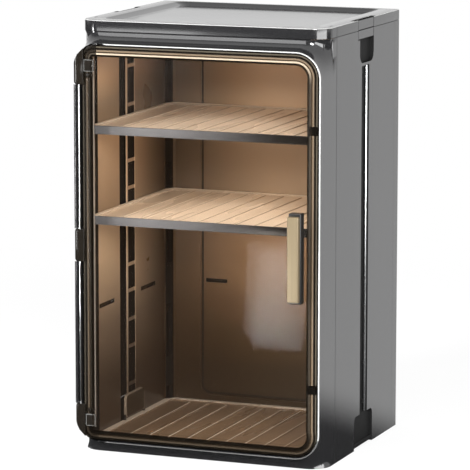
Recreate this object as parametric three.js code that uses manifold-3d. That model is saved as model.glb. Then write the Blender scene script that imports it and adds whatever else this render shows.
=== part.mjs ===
// Folding cup storage cabinet: a plastic shell whose side walls fold in when the shelves and floor are
// out, with a smoked door, two ribbed shelves, a latched lid and locking flaps beside the floor.
// Millimetres, +Z up, door towards -Y. While the pieces are made, Y is measured from the lid's front
// plane; the last lines centre the whole on its footprint. Pieces that come in pairs are made on the
// right, and the left one is its mirror image.

import * as THREE from 'three';
import { mergeVertices } from 'three/addons/utils/BufferGeometryUtils.js';
import Module from 'manifold-3d';

const wasm = await Module();
wasm.setup();

// Fits and facets
const fit = 0.3; // gap between pieces that seat on each other
const overrun = 1; // how far a cutter passes the face that it opens
const overlap = 0.2; // how far joined solids reach into each other
const weld = 0.0001; // corners closer than this are one corner
const arcSteps = 8; // facets on a quarter round
const rodSides = 16;
const slimSides = 8; // on rods and bores under the slim radius
const slimRadius = 1.8;

// Driving dimensions
const shell = {
  width: 350,
  depth: 300,
  height: 585,
  wall: 7,
  backWall: 8,
  footClearance: 0.6, // the shell's lower edge over the floor
  lidSkirt: 14.4,
  frontRadius: 27,
  rearRadius: 4,
};
const frame = {
  reach: 21, // bezel before the lid's front plane
  sideReturn: 42,
  bezelLift: 17,
  bezelDrop: 14.3,
  bezelRadius: 35,
  lip: 1.8,
  rabbet: 18,
  jambWidth: 18,
  jambDepth: 13.5,
  sillHeight: 21,
  headerDepth: 27,
  openingRadius: 14,
};
const jambDetail = {
  grooveWidth: 1.6,
  groovePitch: 3.4,
  grooveDepth: 2.2,
  grooveCount: 3,
  grooveInset: 2.8, // first groove's centre from the opening
  endInset: 56, // grooves' ends from the bezel's ends
  rung: 3,
  windowWidth: 8,
  windowHeight: 30,
  windowDepth: 6,
  windowGap: 5,
};
const hinge = {
  radius: 6,
  pinRadius: 2,
  endGap: 0.5,
  lowerKnuckle: 51.3,
  middleKnuckle: 44.5,
  upperKnuckle: 55.5,
  doorGap: 0.6,
  cornerGap: 0.8,
  webWidth: 7,
  armThickness: 5.4,
  pinInset: 19, // the pin's ends from the bezel's ends
};
const door = {
  edgeGap: 1.7,
  step: 3, // raised centre panel over the border
  rim: 14,
  skin: 2.5,
  border: 11,
  stepSlope: 2,
  panelRadius: 20,
};
const handle = {
  inset: 26.2, // centre from the door's closing edge
  length: 113,
  rise: 0.6, // cap's middle over the bezel's middle
  capWidth: 15.6,
  capDepth: 8.2,
  capEdge: 1.4,
  baseMargin: 0.7,
  baseEnd: 3.5, // base beyond the cap at each end
  baseDepth: 13.5,
  baseRadius: 3,
  screwRadius: 1.7,
  screwHeadRadius: 3.5,
  screwHead: 1.8,
  screwReach: 8,
  screwInset: 22,
};
const magnet = {
  radius: 4.2,
  thickness: 3.4,
  bossWall: 1.5,
  inset: 8, // centre from the door's closing edge
  upperDrop: 102.3, // centres from the bezel's upper and lower edges
  lowerLift: 94.7,
  gap: 1.1,
};
const fold = {
  slotFront: 142,
  slotRear: 172.3,
  slotBottom: 47,
  slotDrop: 48.3, // slot's top under the shell's top
  seam: 159.5,
  webDepth: 1.2, // web's inner face behind the wall's inner face
  web: 1,
  stepWidth: 6,
  stepDepth: 2.5,
  rodRadius: 2.1,
  rodCentre: 166.5,
  rodInset: 2.4, // rod's centre behind the wall's outer face
  rung: 5,
  saddleReach: 4,
  hookReach: 3.2,
  hookHeight: 9,
};
// Rungs and hooks up the fold, as shares of the slot's height
const rungShares = [0.03, 0.143, 0.223, 0.309, 0.387, 0.613, 0.693, 0.857, 0.97];
const hookShares = [0.019, 0.14, 0.376, 0.615, 0.85, 0.977];
const seam = {
  tongue: 4.4,
  reach: 3.2,
  pinRadius: 1.2,
  pinInset: 2.3, // pin's centre from the wall's inner face
  endInset: 30,
  zones: 7,
};
const arch = { front: 120, rear: 194, height: 47, radius: 8 };
const post = { front: 119, depth: 3, bottom: 12, topInset: 10 };
const latch = {
  front: 127,
  rear: 189,
  drop: 26.4, // plate's lower edge under the lid's top
  topInset: 1.2,
  thickness: 3.1,
  proud: 0.1, // how far the plate stays inside the lid's side face
  sideGap: 0.4,
  pivotInset: 3.6, // pivot from the shell's outer face
  pivotDrop: 4.5, // pivot under the lid's top
  barrel: 2.6,
  pinRadius: 1.2,
  pinReach: 5,
  slot: 8, // notch in the lid, from its outer face
  groove: 0.7,
  grooveHeight: 1.2,
  hookReach: 2.2,
  hookHeight: 2.6,
  hookLift: 1.4,
  hookInset: 4,
};
const recess = { front: 134, rear: 190, height: 32.6, radius: 12, depth: 5.4 };
const lid = {
  edge: 1.6,
  rim: 24,
  rearRim: 9,
  recess: 5,
  slope: 4,
  recessRadius: 14,
  plate: 2.8,
  skirtWall: 3.5,
  barDepth: 8.3,
  bar: 2.6,
  barGap: 0.4,
  barInset: 1.4, // side bars clear of the latch notch
  sideBarFront: 60,
  sideBarRear: 265,
  endBarHalf: 150,
};
const back = {
  postWidth: 12,
  postDepth: 14,
  sideReturn: 23,
  panelHalf: 115.5,
  panelBottom: 25,
  panelDrop: 25,
  panelRadius: 14,
  grooveWidth: 2.5,
  grooveDepth: 1.5,
  slotInset: 4,
  slotRear: 4,
};
// Hook slots in the corner posts, as shares of the shell's height
const postSlotShares = [
  [0.019, 0.056],
  [0.13, 0.26],
  [0.362, 0.446],
  [0.552, 0.61],
  [0.747, 0.856],
];
const ribs = { width: 5, crest: 2.6, height: 1.6, endInset: 6 };
const cell = { limit: 56, web: 2, plate: 2.4 };
const shelf = {
  sideGap: 2.6,
  front: 16,
  rearGap: 1.2,
  thickness: 11.3,
  border: 7,
  ribPitch: 27,
  tabHeight: 5,
  tabDrop: 5.5, // tab's top under the shelf's top
  tabReach: 2.6, // into the wall
  trimDepth: 3.7,
  trimEdge: 0.7,
  trimProud: 0.3,
};
// Tops of the shelf levels, as shares of the shell's height, and the levels in use
const levelShares = [0.3371, 0.5463, 0.7556];
const usedLevels = { middle_shelf: 1, upper_shelf: 2 };
const socket = {
  depth: 3,
  height: 6,
  sideFront: 48,
  sideRear: 193,
  sideLength: 52,
  backInner: 77,
  backOuter: 110,
};
const base = {
  bottom: 1.2,
  top: 14.6,
  ribPitch: 28,
  border: 9,
  archTongue: 6.6,
  archTongueHeight: 5.5,
  archTongueLift: 2,
};
const foot = { radius: 12, thickness: 2.7, inset: 22, bossWall: 2 };
const lock = {
  front: 128.5,
  rear: 192.8,
  top: 50,
  pivotHeight: 19.5,
  thickness: 3.8,
  wallGap: 0.9,
  barrel: 2.3,
  pinRadius: 1.2,
  radius: 9,
  ear: 2.6,
  earGap: 0.4,
  earHeight: 2.6, // ear above the pivot
};

// Sizes that follow from the driving dimensions
const halfWidth = shell.width / 2;
const innerHalf = halfWidth - shell.wall;
const backFace = shell.depth - shell.backWall;
const lidBottom = shell.height - shell.lidSkirt;
const shellTop = lidBottom - fit;
const bezelFront = -frame.reach;
const bezelBottom = frame.bezelLift;
const bezelTop = shellTop - frame.bezelDrop;
const rabbetFloor = bezelFront + frame.rabbet;
const jambBack = rabbetFloor + frame.jambDepth;
const openingHalf = halfWidth - frame.jambWidth;
const openingTop = shellTop - frame.headerDepth;
const wallFront = frame.sideReturn + fit;
const backFront = shell.depth - back.sideReturn;
const wallRear = backFront - fit;
const hingeX = -halfWidth + hinge.radius;
const hingeY = bezelFront + hinge.radius;
const doorEdge = halfWidth - frame.lip - door.edgeGap;
const doorInset = frame.lip + door.edgeGap;
const doorLeft = hingeX + hinge.radius + hinge.doorGap;
const flangeFront = bezelFront + door.step;
const doorBack = flangeFront + door.rim;
const rodX = halfWidth - fold.rodInset;
const slotTop = shellTop - fold.slotDrop;
const latchBottom = shell.height - latch.drop;

// Colours of the moulded and metal pieces
const doorOpacity = 0.55;
const finish = {
  shell: new THREE.MeshStandardMaterial({ color: 0x828282, roughness: 0.25, metalness: 0 }),
  door: new THREE.MeshStandardMaterial({ color: 0x6b4a2c, roughness: 0.08, metalness: 0 }),
  shelf: new THREE.MeshStandardMaterial({ color: 0xb8a58c, roughness: 0.4, metalness: 0 }),
  trim: new THREE.MeshStandardMaterial({ color: 0x6e7480, roughness: 0.3, metalness: 0 }),
  gold: new THREE.MeshStandardMaterial({ color: 0xd9c09a, roughness: 0.3, metalness: 0.6 }),
  black: new THREE.MeshStandardMaterial({ color: 0x141414, roughness: 0.4, metalness: 0 }),
  steel: new THREE.MeshStandardMaterial({ color: 0xd6d8da, roughness: 0.2, metalness: 1 }),
  rubber: new THREE.MeshStandardMaterial({ color: 0x1c1c1c, roughness: 0.9, metalness: 0 }),
};
finish.door.transparent = true;
finish.door.opacity = doorOpacity;

// Outlines

// Counter-clockwise rectangle; radii go from the corner of the largest values round through the upper left
function roundedOutline(x0, x1, y0, y1, radii) {
  const corners = [[x1, y1, 1, 1], [x0, y1, -1, 1], [x0, y0, -1, -1], [x1, y0, 1, -1]];
  return corners.flatMap(([x, y, signX, signY], quarter) => {
    const radius = radii[quarter];
    const steps = radius > 0 ? arcSteps : 0;
    return Array.from({ length: steps + 1 }, (_, i) => {
      const angle = (quarter + (steps ? i / steps : 0)) * Math.PI / 2;
      return new THREE.Vector2(
        x - signX * radius + radius * Math.cos(angle),
        y - signY * radius + radius * Math.sin(angle),
      );
    });
  });
}

function evenOutline(x0, x1, y0, y1, radius) {
  return roundedOutline(x0, x1, y0, y1, [radius, radius, radius, radius]);
}

function circle(x, y, radius) {
  const sides = radius < slimRadius ? slimSides : rodSides;
  return Array.from({ length: sides }, (_, i) => {
    const angle = (i + 0.5) * 2 * Math.PI / sides;
    return new THREE.Vector2(x + radius * Math.cos(angle), y + radius * Math.sin(angle));
  });
}

// Solids

const axes = {
  x: new THREE.Matrix4().makeBasis(
    new THREE.Vector3(0, 1, 0), new THREE.Vector3(0, 0, 1), new THREE.Vector3(1, 0, 0)),
  y: new THREE.Matrix4().makeBasis(
    new THREE.Vector3(1, 0, 0), new THREE.Vector3(0, 0, 1), new THREE.Vector3(0, -1, 0)),
  z: new THREE.Matrix4(),
};

// Outline swept along an axis: (y, z) along X, (x, z) along Y or (x, y) along Z
function prism(axis, points, from, to) {
  const options = { depth: to - from, bevelEnabled: false };
  const geometry = new THREE.ExtrudeGeometry(new THREE.Shape(points), options);
  return geometry.translate(0, 0, axis === 'y' ? -to : from).applyMatrix4(axes[axis]);
}

function block(x0, x1, y0, y1, z0, z1) {
  const geometry = new THREE.BoxGeometry(x1 - x0, y1 - y0, z1 - z0);
  return geometry.translate((x0 + x1) / 2, (y0 + y1) / 2, (z0 + z1) / 2);
}

function rod(axis, u, v, radius, from, to) {
  return prism(axis, circle(u, v, radius), from, to);
}

// Skin through rings of equally many corners, closed at both ends by flat convex caps
function loft(rings) {
  const count = rings[0].length;
  const centre = (ring) => ring.reduce((sum, p) => sum.add(p), new THREE.Vector3()).divideScalar(count);
  const points = [...rings.flat(), centre(rings[0]), centre(rings.at(-1))];
  const first = rings.length * count;
  const at = (ring, i) => ring * count + (i % count);
  const faces = [];
  for (let i = 0; i < count; i += 1) {
    faces.push(first, at(0, i + 1), at(0, i));
    faces.push(first + 1, at(rings.length - 1, i), at(rings.length - 1, i + 1));
    for (let ring = 1; ring < rings.length; ring += 1) {
      faces.push(at(ring - 1, i), at(ring - 1, i + 1), at(ring, i + 1));
      faces.push(at(ring - 1, i), at(ring, i + 1), at(ring, i));
    }
  }
  return new THREE.BufferGeometry().setFromPoints(points).setIndex(faces);
}

function ringAt(axis, points, level) {
  const place = {
    y: (p) => new THREE.Vector3(p.x, level, p.y),
    z: (p) => new THREE.Vector3(p.x, p.y, level),
  };
  return points.map(place[axis]);
}

// Each shape with its mirror image on the cabinet's left
function both(...shapes) {
  return shapes.flatMap((shape) => [shape, shape.clone().scale(-1, 1, 1)]);
}

function signedVolume(corners, triangles) {
  const [a, b, c] = [new THREE.Vector3(), new THREE.Vector3(), new THREE.Vector3()];
  let volume = 0;
  for (let i = 0; i < triangles.length; i += 3) {
    a.fromArray(corners, triangles[i] * 3);
    b.fromArray(corners, triangles[i + 1] * 3);
    c.fromArray(corners, triangles[i + 2] * 3);
    volume += a.dot(b.cross(c)) / 6;
  }
  return volume;
}

function toSolid(shape) {
  if (shape instanceof wasm.Manifold) return shape;
  const bare = shape.clone();
  bare.deleteAttribute('normal');
  bare.deleteAttribute('uv');
  const merged = mergeVertices(bare, weld);
  const vertProperties = Float32Array.from(merged.attributes.position.array);
  const triVerts = Uint32Array.from(merged.index.array);
  if (signedVolume(vertProperties, triVerts) < 0) triVerts.reverse();
  return new wasm.Manifold(new wasm.Mesh({ numProp: 3, vertProperties, triVerts }));
}

function join(...shapes) {
  return shapes.map(toSolid).reduce((whole, part) => whole.add(part));
}

function cut(shape, ...tools) {
  return tools.map(toSolid).reduce((whole, tool) => whole.subtract(tool), toSolid(shape));
}

function common(shape, other) {
  return toSolid(shape).intersect(toSolid(other));
}

const cabinet = new THREE.Group();

function addPiece(name, shape, material, mirrored = false) {
  const { vertProperties, triVerts } = toSolid(shape).getMesh();
  const geometry = new THREE.BufferGeometry();
  geometry.setAttribute('position', new THREE.BufferAttribute(Float32Array.from(vertProperties), 3));
  geometry.setIndex(new THREE.BufferAttribute(Uint32Array.from(triVerts), 1));
  const mesh = new THREE.Mesh(geometry.toNonIndexed(), material);
  mesh.geometry.computeVertexNormals();
  mesh.name = name;
  if (mirrored) mesh.scale.x = -1;
  cabinet.add(mesh);
}

function addPair(name, shape, material) {
  addPiece(`right_${name}`, shape, material);
  addPiece(`left_${name}`, shape, material, true);
}

// Shared details

// The fold hinge along a vertical seam: tongues of the two pieces take turns round one pin,
// behind an outer skin that meets in a plain line
function seamHinge(seamY, lowEdge, highEdge) {
  const from = seam.endInset;
  const length = (shellTop - 2 * seam.endInset) / seam.zones;
  const outer = innerHalf + seam.tongue;
  const low = { tongues: [], sockets: [] };
  const high = { tongues: [], sockets: [] };
  for (let i = 0; i < seam.zones; i += 1) {
    const z0 = from + i * length;
    const z1 = z0 + length;
    const reachHigh = highEdge + seam.reach;
    const reachLow = lowEdge - seam.reach;
    if (i % 2) {
      high.tongues.push(block(innerHalf, outer, reachLow, highEdge + overlap, z0 + fit, z1 - fit));
      low.sockets.push(block(innerHalf - overrun, outer + fit, reachLow - fit, lowEdge + overrun, z0, z1));
    } else {
      low.tongues.push(block(innerHalf, outer, lowEdge - overlap, reachHigh, z0 + fit, z1 - fit));
      high.sockets.push(block(innerHalf - overrun, outer + fit, highEdge - overrun, reachHigh + fit, z0, z1));
    }
  }
  const pinX = innerHalf + seam.pinInset;
  const bore = rod('z', pinX, seamY, seam.pinRadius + fit, from - fit, shellTop - seam.endInset + fit);
  const pin = rod('z', pinX, seamY, seam.pinRadius, from, shellTop - seam.endInset);
  return { low, high, bore, pin };
}

// Round-topped crests along Y that carry cups clear of the tray
function ribField(pitch, half, y0, y1, top) {
  const count = Math.floor(half / pitch);
  const shapes = [];
  for (let i = -count; i < count; i += 1) {
    const x = (i + 0.5) * pitch;
    const section = [
      new THREE.Vector2(x - ribs.width / 2, top - ribs.height - overlap),
      new THREE.Vector2(x + ribs.width / 2, top - ribs.height - overlap),
      new THREE.Vector2(x + ribs.crest / 2, top),
      new THREE.Vector2(x - ribs.crest / 2, top),
    ];
    shapes.push(prism('y', section, y0, y1));
  }
  return shapes;
}

// Pockets of a ribbed underside
function cells(x0, x1, y0, y1, z0, z1) {
  const across = Math.ceil((x1 - x0) / cell.limit);
  const along = Math.ceil((y1 - y0) / cell.limit);
  const stepX = (x1 - x0 + cell.web) / across;
  const stepY = (y1 - y0 + cell.web) / along;
  const shapes = [];
  for (let i = 0; i < across; i += 1) {
    for (let j = 0; j < along; j += 1) {
      const x = x0 + i * stepX;
      const y = y0 + j * stepY;
      shapes.push(block(x, x + stepX - cell.web, y, y + stepY - cell.web, z0, z1));
    }
  }
  return shapes;
}

// Plan of a tray between the walls, with the corner posts cut off at the rear
function trayPlan(half, y0, y1, gap) {
  const alongSide = backFace - back.postDepth - gap;
  const alongBack = innerHalf - back.postWidth - gap;
  const slope = back.postWidth / back.postDepth;
  const sideY = alongSide + (innerHalf - half) / slope;
  const rearX = alongBack + (backFace - y1) * slope;
  return [
    new THREE.Vector2(-half, y0),
    new THREE.Vector2(half, y0),
    new THREE.Vector2(half, sideY),
    new THREE.Vector2(rearX, y1),
    new THREE.Vector2(-rearX, y1),
    new THREE.Vector2(-half, sideY),
  ];
}

const frontSeam = seamHinge(frame.sideReturn + fit / 2, frame.sideReturn, wallFront);
const rearSeam = seamHinge(backFront - fit / 2, wallRear, backFront);
const levelTops = levelShares.map((share) => share * shell.height);
const socketTops = levelTops.map((top) => top - shelf.tabDrop + fit);

// Front frame: one moulding whose rectangular back sweeps forward through a hollow cove into the
// rounded bezel. The bezel's corner arc answers to the lid's corner in plan for the first part of its
// length and to the upright edge for the rest.

const coveSteps = 6;
const cornerSteps = 12;
const planShare = 0.6;

function frameCorner(share, forward, outward, upper) {
  const edge = upper ? bezelTop : bezelBottom;
  const limit = upper ? shellTop : shell.footClearance;
  const sign = upper ? 1 : -1;
  const radius = frame.bezelRadius;
  const angle = (1 - share) * Math.PI / 2;
  const arcEnd = edge - sign * radius;
  const start = new THREE.Vector3(
    halfWidth - radius + radius * Math.cos(angle), bezelFront, arcEnd + sign * radius * Math.sin(angle));
  const turn = Math.min(share / planShare, 1) * Math.PI / 2;
  const fall = Math.max(share - planShare, 0) / (1 - planShare);
  const end = new THREE.Vector3(
    halfWidth - shell.frontRadius + shell.frontRadius * Math.sin(turn),
    shell.frontRadius - shell.frontRadius * Math.cos(turn),
    THREE.MathUtils.lerp(limit, arcEnd, fall));
  return new THREE.Vector3(
    THREE.MathUtils.lerp(start.x, end.x, outward),
    THREE.MathUtils.lerp(start.y, end.y, forward),
    THREE.MathUtils.lerp(start.z, end.z, outward));
}

function frameRing(forward, outward) {
  const arc = (upper) => Array.from(
    { length: cornerSteps + 1 }, (_, i) => frameCorner(i / cornerSteps, forward, outward, upper));
  const right = [...arc(true), ...arc(false).reverse()];
  const left = right.map((p) => new THREE.Vector3(-p.x, p.y, p.z)).reverse();
  return [...right, ...left];
}

function frameBody() {
  const rings = Array.from({ length: coveSteps + 1 }, (_, i) => {
    const turn = (i / coveSteps) * Math.PI / 2;
    return frameRing(Math.sin(turn), 1 - Math.cos(turn));
  });
  const rear = frameRing(1, 1).map((p) => new THREE.Vector3(p.x, frame.sideReturn, p.z));
  return loft([...rings, rear]);
}

function doorPocket() {
  const radius = frame.bezelRadius;
  const split = -halfWidth + radius;
  const main = roundedOutline(
    split, halfWidth - frame.lip, bezelBottom + frame.lip, bezelTop - frame.lip,
    [radius - frame.lip, 0, 0, radius - frame.lip]);
  const gap = hinge.cornerGap;
  const hingeSide = roundedOutline(
    -halfWidth - gap, split + overlap, bezelBottom - gap, bezelTop + gap, [0, radius + gap, radius + gap, 0]);
  return [main, hingeSide].map((points) => prism('y', points, bezelFront - overrun, rabbetFloor));
}

// Heights where the door's knuckles stand, and the frame's barrels between them
function hingeZones() {
  const low = bezelBottom + hinge.lowerKnuckle;
  const high = bezelTop - hinge.upperKnuckle;
  const middle = (low + high) / 2;
  const half = hinge.middleKnuckle / 2;
  return {
    knuckles: [[bezelBottom, low], [middle - half, middle + half], [high, bezelTop]],
    barrels: [[low, middle - half], [middle + half, high]],
  };
}

const zones = hingeZones();

function frameBarrels() {
  return zones.barrels.flatMap(([z0, z1]) => [
    rod('z', hingeX, hingeY, hinge.radius, z0 + hinge.endGap / 2, z1 - hinge.endGap / 2),
    block(-halfWidth, -halfWidth + hinge.webWidth, hingeY + hinge.radius / 2, rabbetFloor + overlap,
      z0 + hinge.endGap / 2, z1 - hinge.endGap / 2),
  ]);
}

// Slim upright grooves on the hinge jamb, broken by rungs, with a pocket over them
function jambGrooves() {
  const d = jambDetail;
  const z0 = bezelBottom + d.endInset;
  const z1 = bezelTop - d.endInset;
  const shares = [0, 0.16, 0.34, 0.52, 0.7, 0.86, 1];
  const depth = rabbetFloor + d.grooveDepth;
  const shapes = [];
  for (let i = 0; i < d.grooveCount; i += 1) {
    const x = -openingHalf - d.grooveInset - i * d.groovePitch;
    for (let k = 1; k < shares.length; k += 1) {
      const low = THREE.MathUtils.lerp(z0, z1, shares[k - 1]) + d.rung / 2;
      const high = THREE.MathUtils.lerp(z0, z1, shares[k]) - d.rung / 2;
      const half = d.grooveWidth / 2;
      shapes.push(block(x - half, x + half, rabbetFloor - overrun, depth, low, high));
    }
  }
  const windowX = -openingHalf - d.grooveInset / 2;
  shapes.push(block(windowX - d.windowWidth, windowX, rabbetFloor - overrun, rabbetFloor + d.windowDepth,
    z1 + d.windowGap, z1 + d.windowGap + d.windowHeight));
  return shapes;
}

const magnetX = doorEdge - magnet.inset;
const magnetHeights = [bezelBottom + magnet.lowerLift, bezelTop - magnet.upperDrop];
const frameMagnetFront = doorBack + magnet.gap - fit;

function frontFrame() {
  const opening = prism('y',
    evenOutline(-openingHalf, openingHalf, frame.sillHeight, openingTop, frame.openingRadius),
    bezelFront, jambBack + overrun);
  const behind = block(-innerHalf, innerHalf, jambBack, frame.sideReturn + overrun, -overrun, shell.height);
  const hollow = cut(frameBody(), ...doorPocket(), opening, behind);
  const knuckled = join(hollow, ...frameBarrels(), ...both(...frontSeam.low.tongues));
  const pinBore = rod('z', hingeX, hingeY, hinge.pinRadius + fit, bezelBottom, bezelTop);
  const magnetBores = magnetHeights.map((z) => rod('y', magnetX, z, magnet.radius + fit,
    rabbetFloor - overrun, frameMagnetFront + magnet.thickness + fit));
  return cut(knuckled, ...both(...frontSeam.low.sockets, frontSeam.bore), pinBore,
    ...magnetBores, ...jambGrooves());
}

addPiece('front_frame', frontFrame(), finish.shell);

addPiece('door_hinge_pin', rod('z', hingeX, hingeY, hinge.pinRadius,
  bezelBottom + hinge.pinInset, bezelTop - hinge.pinInset), finish.steel);

const ends = ['lower', 'upper'];

ends.forEach((end, i) => addPiece(`${end}_frame_magnet`, rod('y', magnetX, magnetHeights[i], magnet.radius,
  frameMagnetFront, frameMagnetFront + magnet.thickness), finish.black));

// Door: a thin moulding with a raised centre panel, a deep rim and three knuckles

function doorOutline(inset, radius) {
  return roundedOutline(doorLeft + inset, doorEdge - inset, bezelBottom + doorInset + inset,
    bezelTop - doorInset - inset, [radius, door.skin, door.skin, radius]);
}

function doorRaise(inset, y0, y1, y2) {
  const foot = doorOutlineRound(inset, door.panelRadius);
  const crown = doorOutlineRound(inset + door.stepSlope, door.panelRadius - door.stepSlope);
  return loft([ringAt('y', foot, y0), ringAt('y', foot, y1), ringAt('y', crown, y2)]);
}

function doorOutlineRound(inset, radius) {
  return evenOutline(doorLeft + inset, doorEdge - inset, bezelBottom + doorInset + inset,
    bezelTop - doorInset - inset, radius);
}

const rimRadius = frame.bezelRadius - doorInset;
const handleX = doorEdge - handle.inset;
const handleMiddle = (bezelBottom + bezelTop) / 2 + handle.rise;
const handleBottom = handleMiddle - handle.length / 2;
const handleTop = handleMiddle + handle.length / 2;
const screwHeights = [handleBottom + handle.screwInset, handleTop - handle.screwInset];

function doorPanel() {
  const border = prism('y', doorOutline(0, rimRadius), flangeFront, doorBack);
  const raised = doorRaise(door.border, flangeFront + overlap, flangeFront, bezelFront);
  const inside = prism('y', doorOutline(door.skin, rimRadius - door.skin),
    flangeFront + door.skin, doorBack + overrun);
  const insideRaised = doorRaise(door.border + door.skin, flangeFront + door.skin + overlap,
    flangeFront + door.skin, bezelFront + door.skin);
  const bosses = magnetHeights.map((z) => rod('y', magnetX, z, magnet.radius + fit + magnet.bossWall,
    flangeFront + door.skin - overlap, doorBack));
  const sockets = magnetHeights.map((z) => rod('y', magnetX, z, magnet.radius + fit,
    doorBack - magnet.thickness - 2 * fit, doorBack + overrun));
  const knuckles = zones.knuckles.flatMap(([z0, z1]) => [
    rod('z', hingeX, hingeY, hinge.radius, z0 + hinge.endGap / 2, z1 - hinge.endGap / 2),
    block(hingeX, doorLeft + door.skin, bezelFront, bezelFront + hinge.armThickness,
      z0 + hinge.endGap / 2, z1 - hinge.endGap / 2),
  ]);
  const bezel = evenOutline(-halfWidth, halfWidth, bezelBottom, bezelTop, frame.bezelRadius);
  const bezelPrism = prism('y', bezel, bezelFront - overrun, rabbetFloor);
  const shellOfDoor = join(cut(join(border, raised), inside, insideRaised), ...bosses, ...knuckles);
  const screwHoles = screwHeights.map((z) => rod('y', handleX, z, handle.screwRadius + fit,
    bezelFront - overrun, flangeFront + door.skin + overrun));
  const pinBore = rod('z', hingeX, hingeY, hinge.pinRadius + fit, bezelBottom, bezelTop);
  return cut(common(shellOfDoor, bezelPrism), pinBore, ...sockets, ...screwHoles);
}

addPiece('door_panel', doorPanel(), finish.door);

ends.forEach((end, i) => addPiece(`${end}_door_magnet`, rod('y', magnetX, magnetHeights[i], magnet.radius,
  doorBack - magnet.thickness - fit, doorBack - fit), finish.black));

// Handle: a black base screwed to the door from inside, with a pale gold cap

const baseRear = bezelFront - fit;
const baseFront = baseRear - handle.baseDepth;
const capRear = baseFront - fit;

function handleBase() {
  const half = handle.capWidth / 2 + handle.baseMargin;
  const body = prism('y', evenOutline(handleX - half, handleX + half, handleBottom - handle.baseEnd,
    handleTop + handle.baseEnd, handle.baseRadius), baseFront, baseRear);
  const bores = screwHeights.map((z) => rod('y', handleX, z, handle.screwRadius + fit,
    baseRear - handle.screwReach - fit, baseRear + overrun));
  return cut(body, ...bores);
}

function handleCap() {
  const half = handle.capWidth / 2;
  const outline = (inset) => evenOutline(handleX - half + inset, handleX + half - inset,
    handleBottom + inset, handleTop - inset, handle.baseRadius - inset);
  return loft([
    ringAt('y', outline(0), capRear),
    ringAt('y', outline(0), capRear - handle.capDepth + handle.capEdge),
    ringAt('y', outline(handle.capEdge), capRear - handle.capDepth),
  ]);
}

addPiece('door_handle_base', handleBase(), finish.black);
addPiece('door_handle_trim', handleCap(), finish.gold);

const headRear = bezelFront + door.skin + fit;
ends.forEach((end, i) => addPiece(`${end}_handle_screw`, join(
  rod('y', handleX, screwHeights[i], handle.screwRadius, baseRear - handle.screwReach, headRear + overlap),
  rod('y', handleX, screwHeights[i], handle.screwHeadRadius, headRear, headRear + handle.screwHead),
), finish.steel));

// Side walls: a front and a rear panel that fold about a rod at the middle of the side

const archCutter = prism('x',
  roundedOutline(arch.front, arch.rear, -overrun, arch.height, [arch.radius, arch.radius, 0, 0]),
  innerHalf - overrun, halfWidth + overrun);
const latchBed = block(halfWidth - latch.proud - latch.thickness - fit, halfWidth + overrun,
  latch.front - latch.sideGap, latch.rear + latch.sideGap, latchBottom - fit, lidBottom + overrun);
const hookBed = block(halfWidth - latch.proud - latch.thickness - latch.hookReach - fit, halfWidth,
  latch.front + latch.hookInset - latch.sideGap, latch.rear - latch.hookInset + latch.sideGap,
  latchBottom - fit, latchBottom + latch.hookLift + latch.hookHeight + fit);
const fingerRecess = prism('x',
  roundedOutline(recess.front, recess.rear, latchBottom - recess.height, latchBottom,
    [0, 0, recess.radius, recess.radius]),
  halfWidth - recess.depth, halfWidth + overrun);

function wallSockets(y0) {
  return socketTops.map((z) => block(innerHalf - overrun, innerHalf + socket.depth,
    y0, y0 + socket.sideLength, z - socket.height, z));
}

const slotHeight = slotTop - fold.slotBottom;
const rungHeights = rungShares.map((share) => fold.slotBottom + share * slotHeight);
const hookHeights = hookShares.map((share) => fold.slotBottom + share * slotHeight);
const rodChannel = rod('z', rodX, fold.rodCentre, fold.rodRadius + fit, fold.slotBottom, slotTop + fit);

function frontWall() {
  const webInner = innerHalf + fold.webDepth;
  const webOuter = webInner + fold.web;
  const webRear = fold.slotRear - fit;
  const plate = block(innerHalf, halfWidth, wallFront, fold.slotFront, shell.footClearance, shellTop);
  const crown = block(innerHalf, halfWidth, fold.slotFront - overlap, fold.seam - fit / 2, slotTop, shellTop);
  const web = block(webInner, webOuter, fold.slotFront - overlap, webRear, fold.slotBottom, slotTop - fit);
  const step = block(innerHalf, halfWidth - fold.stepDepth, fold.slotFront - overlap,
    fold.slotFront + fold.stepWidth, fold.slotBottom, slotTop + overlap);
  const rungs = rungHeights.flatMap((z) => [
    block(innerHalf, webOuter, fold.slotFront, webRear, z - fold.rung / 2, z + fold.rung / 2),
    block(webOuter - overlap, rodX, fold.rodCentre - fold.saddleReach, fold.rodCentre + fold.rodRadius + fit,
      z - fold.rung / 2, z + fold.rung / 2),
  ]);
  const postGroove = block(innerHalf - overrun, innerHalf + post.depth, post.front, fold.slotFront - overlap,
    post.bottom, shellTop - post.topInset);
  const body = join(plate, crown, web, step, ...rungs, ...frontSeam.high.tongues);
  return cut(body, archCutter, latchBed, hookBed, fingerRecess, rodChannel, postGroove,
    ...wallSockets(socket.sideFront), ...frontSeam.high.sockets, frontSeam.bore);
}

function rearWall() {
  const plate = block(innerHalf, halfWidth, fold.slotRear, wallRear, shell.footClearance, shellTop);
  const crown = block(innerHalf, halfWidth, fold.seam + fit / 2, fold.slotRear + overlap,
    slotTop + fit, shellTop);
  const hookInner = innerHalf + fold.webDepth + fold.web + fit;
  const half = fold.hookHeight / 2;
  const hooks = hookHeights.map((z) => block(hookInner, rodX + fold.rodRadius / 2,
    fold.slotRear - fold.hookReach, fold.slotRear + overlap, z - half, z + half));
  const body = join(plate, crown, ...rearSeam.low.tongues);
  const bored = cut(body, archCutter, latchBed, hookBed, fingerRecess,
    ...wallSockets(socket.sideRear), ...rearSeam.low.sockets, rearSeam.bore);
  return cut(join(bored, ...hooks), rodChannel);
}

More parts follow.
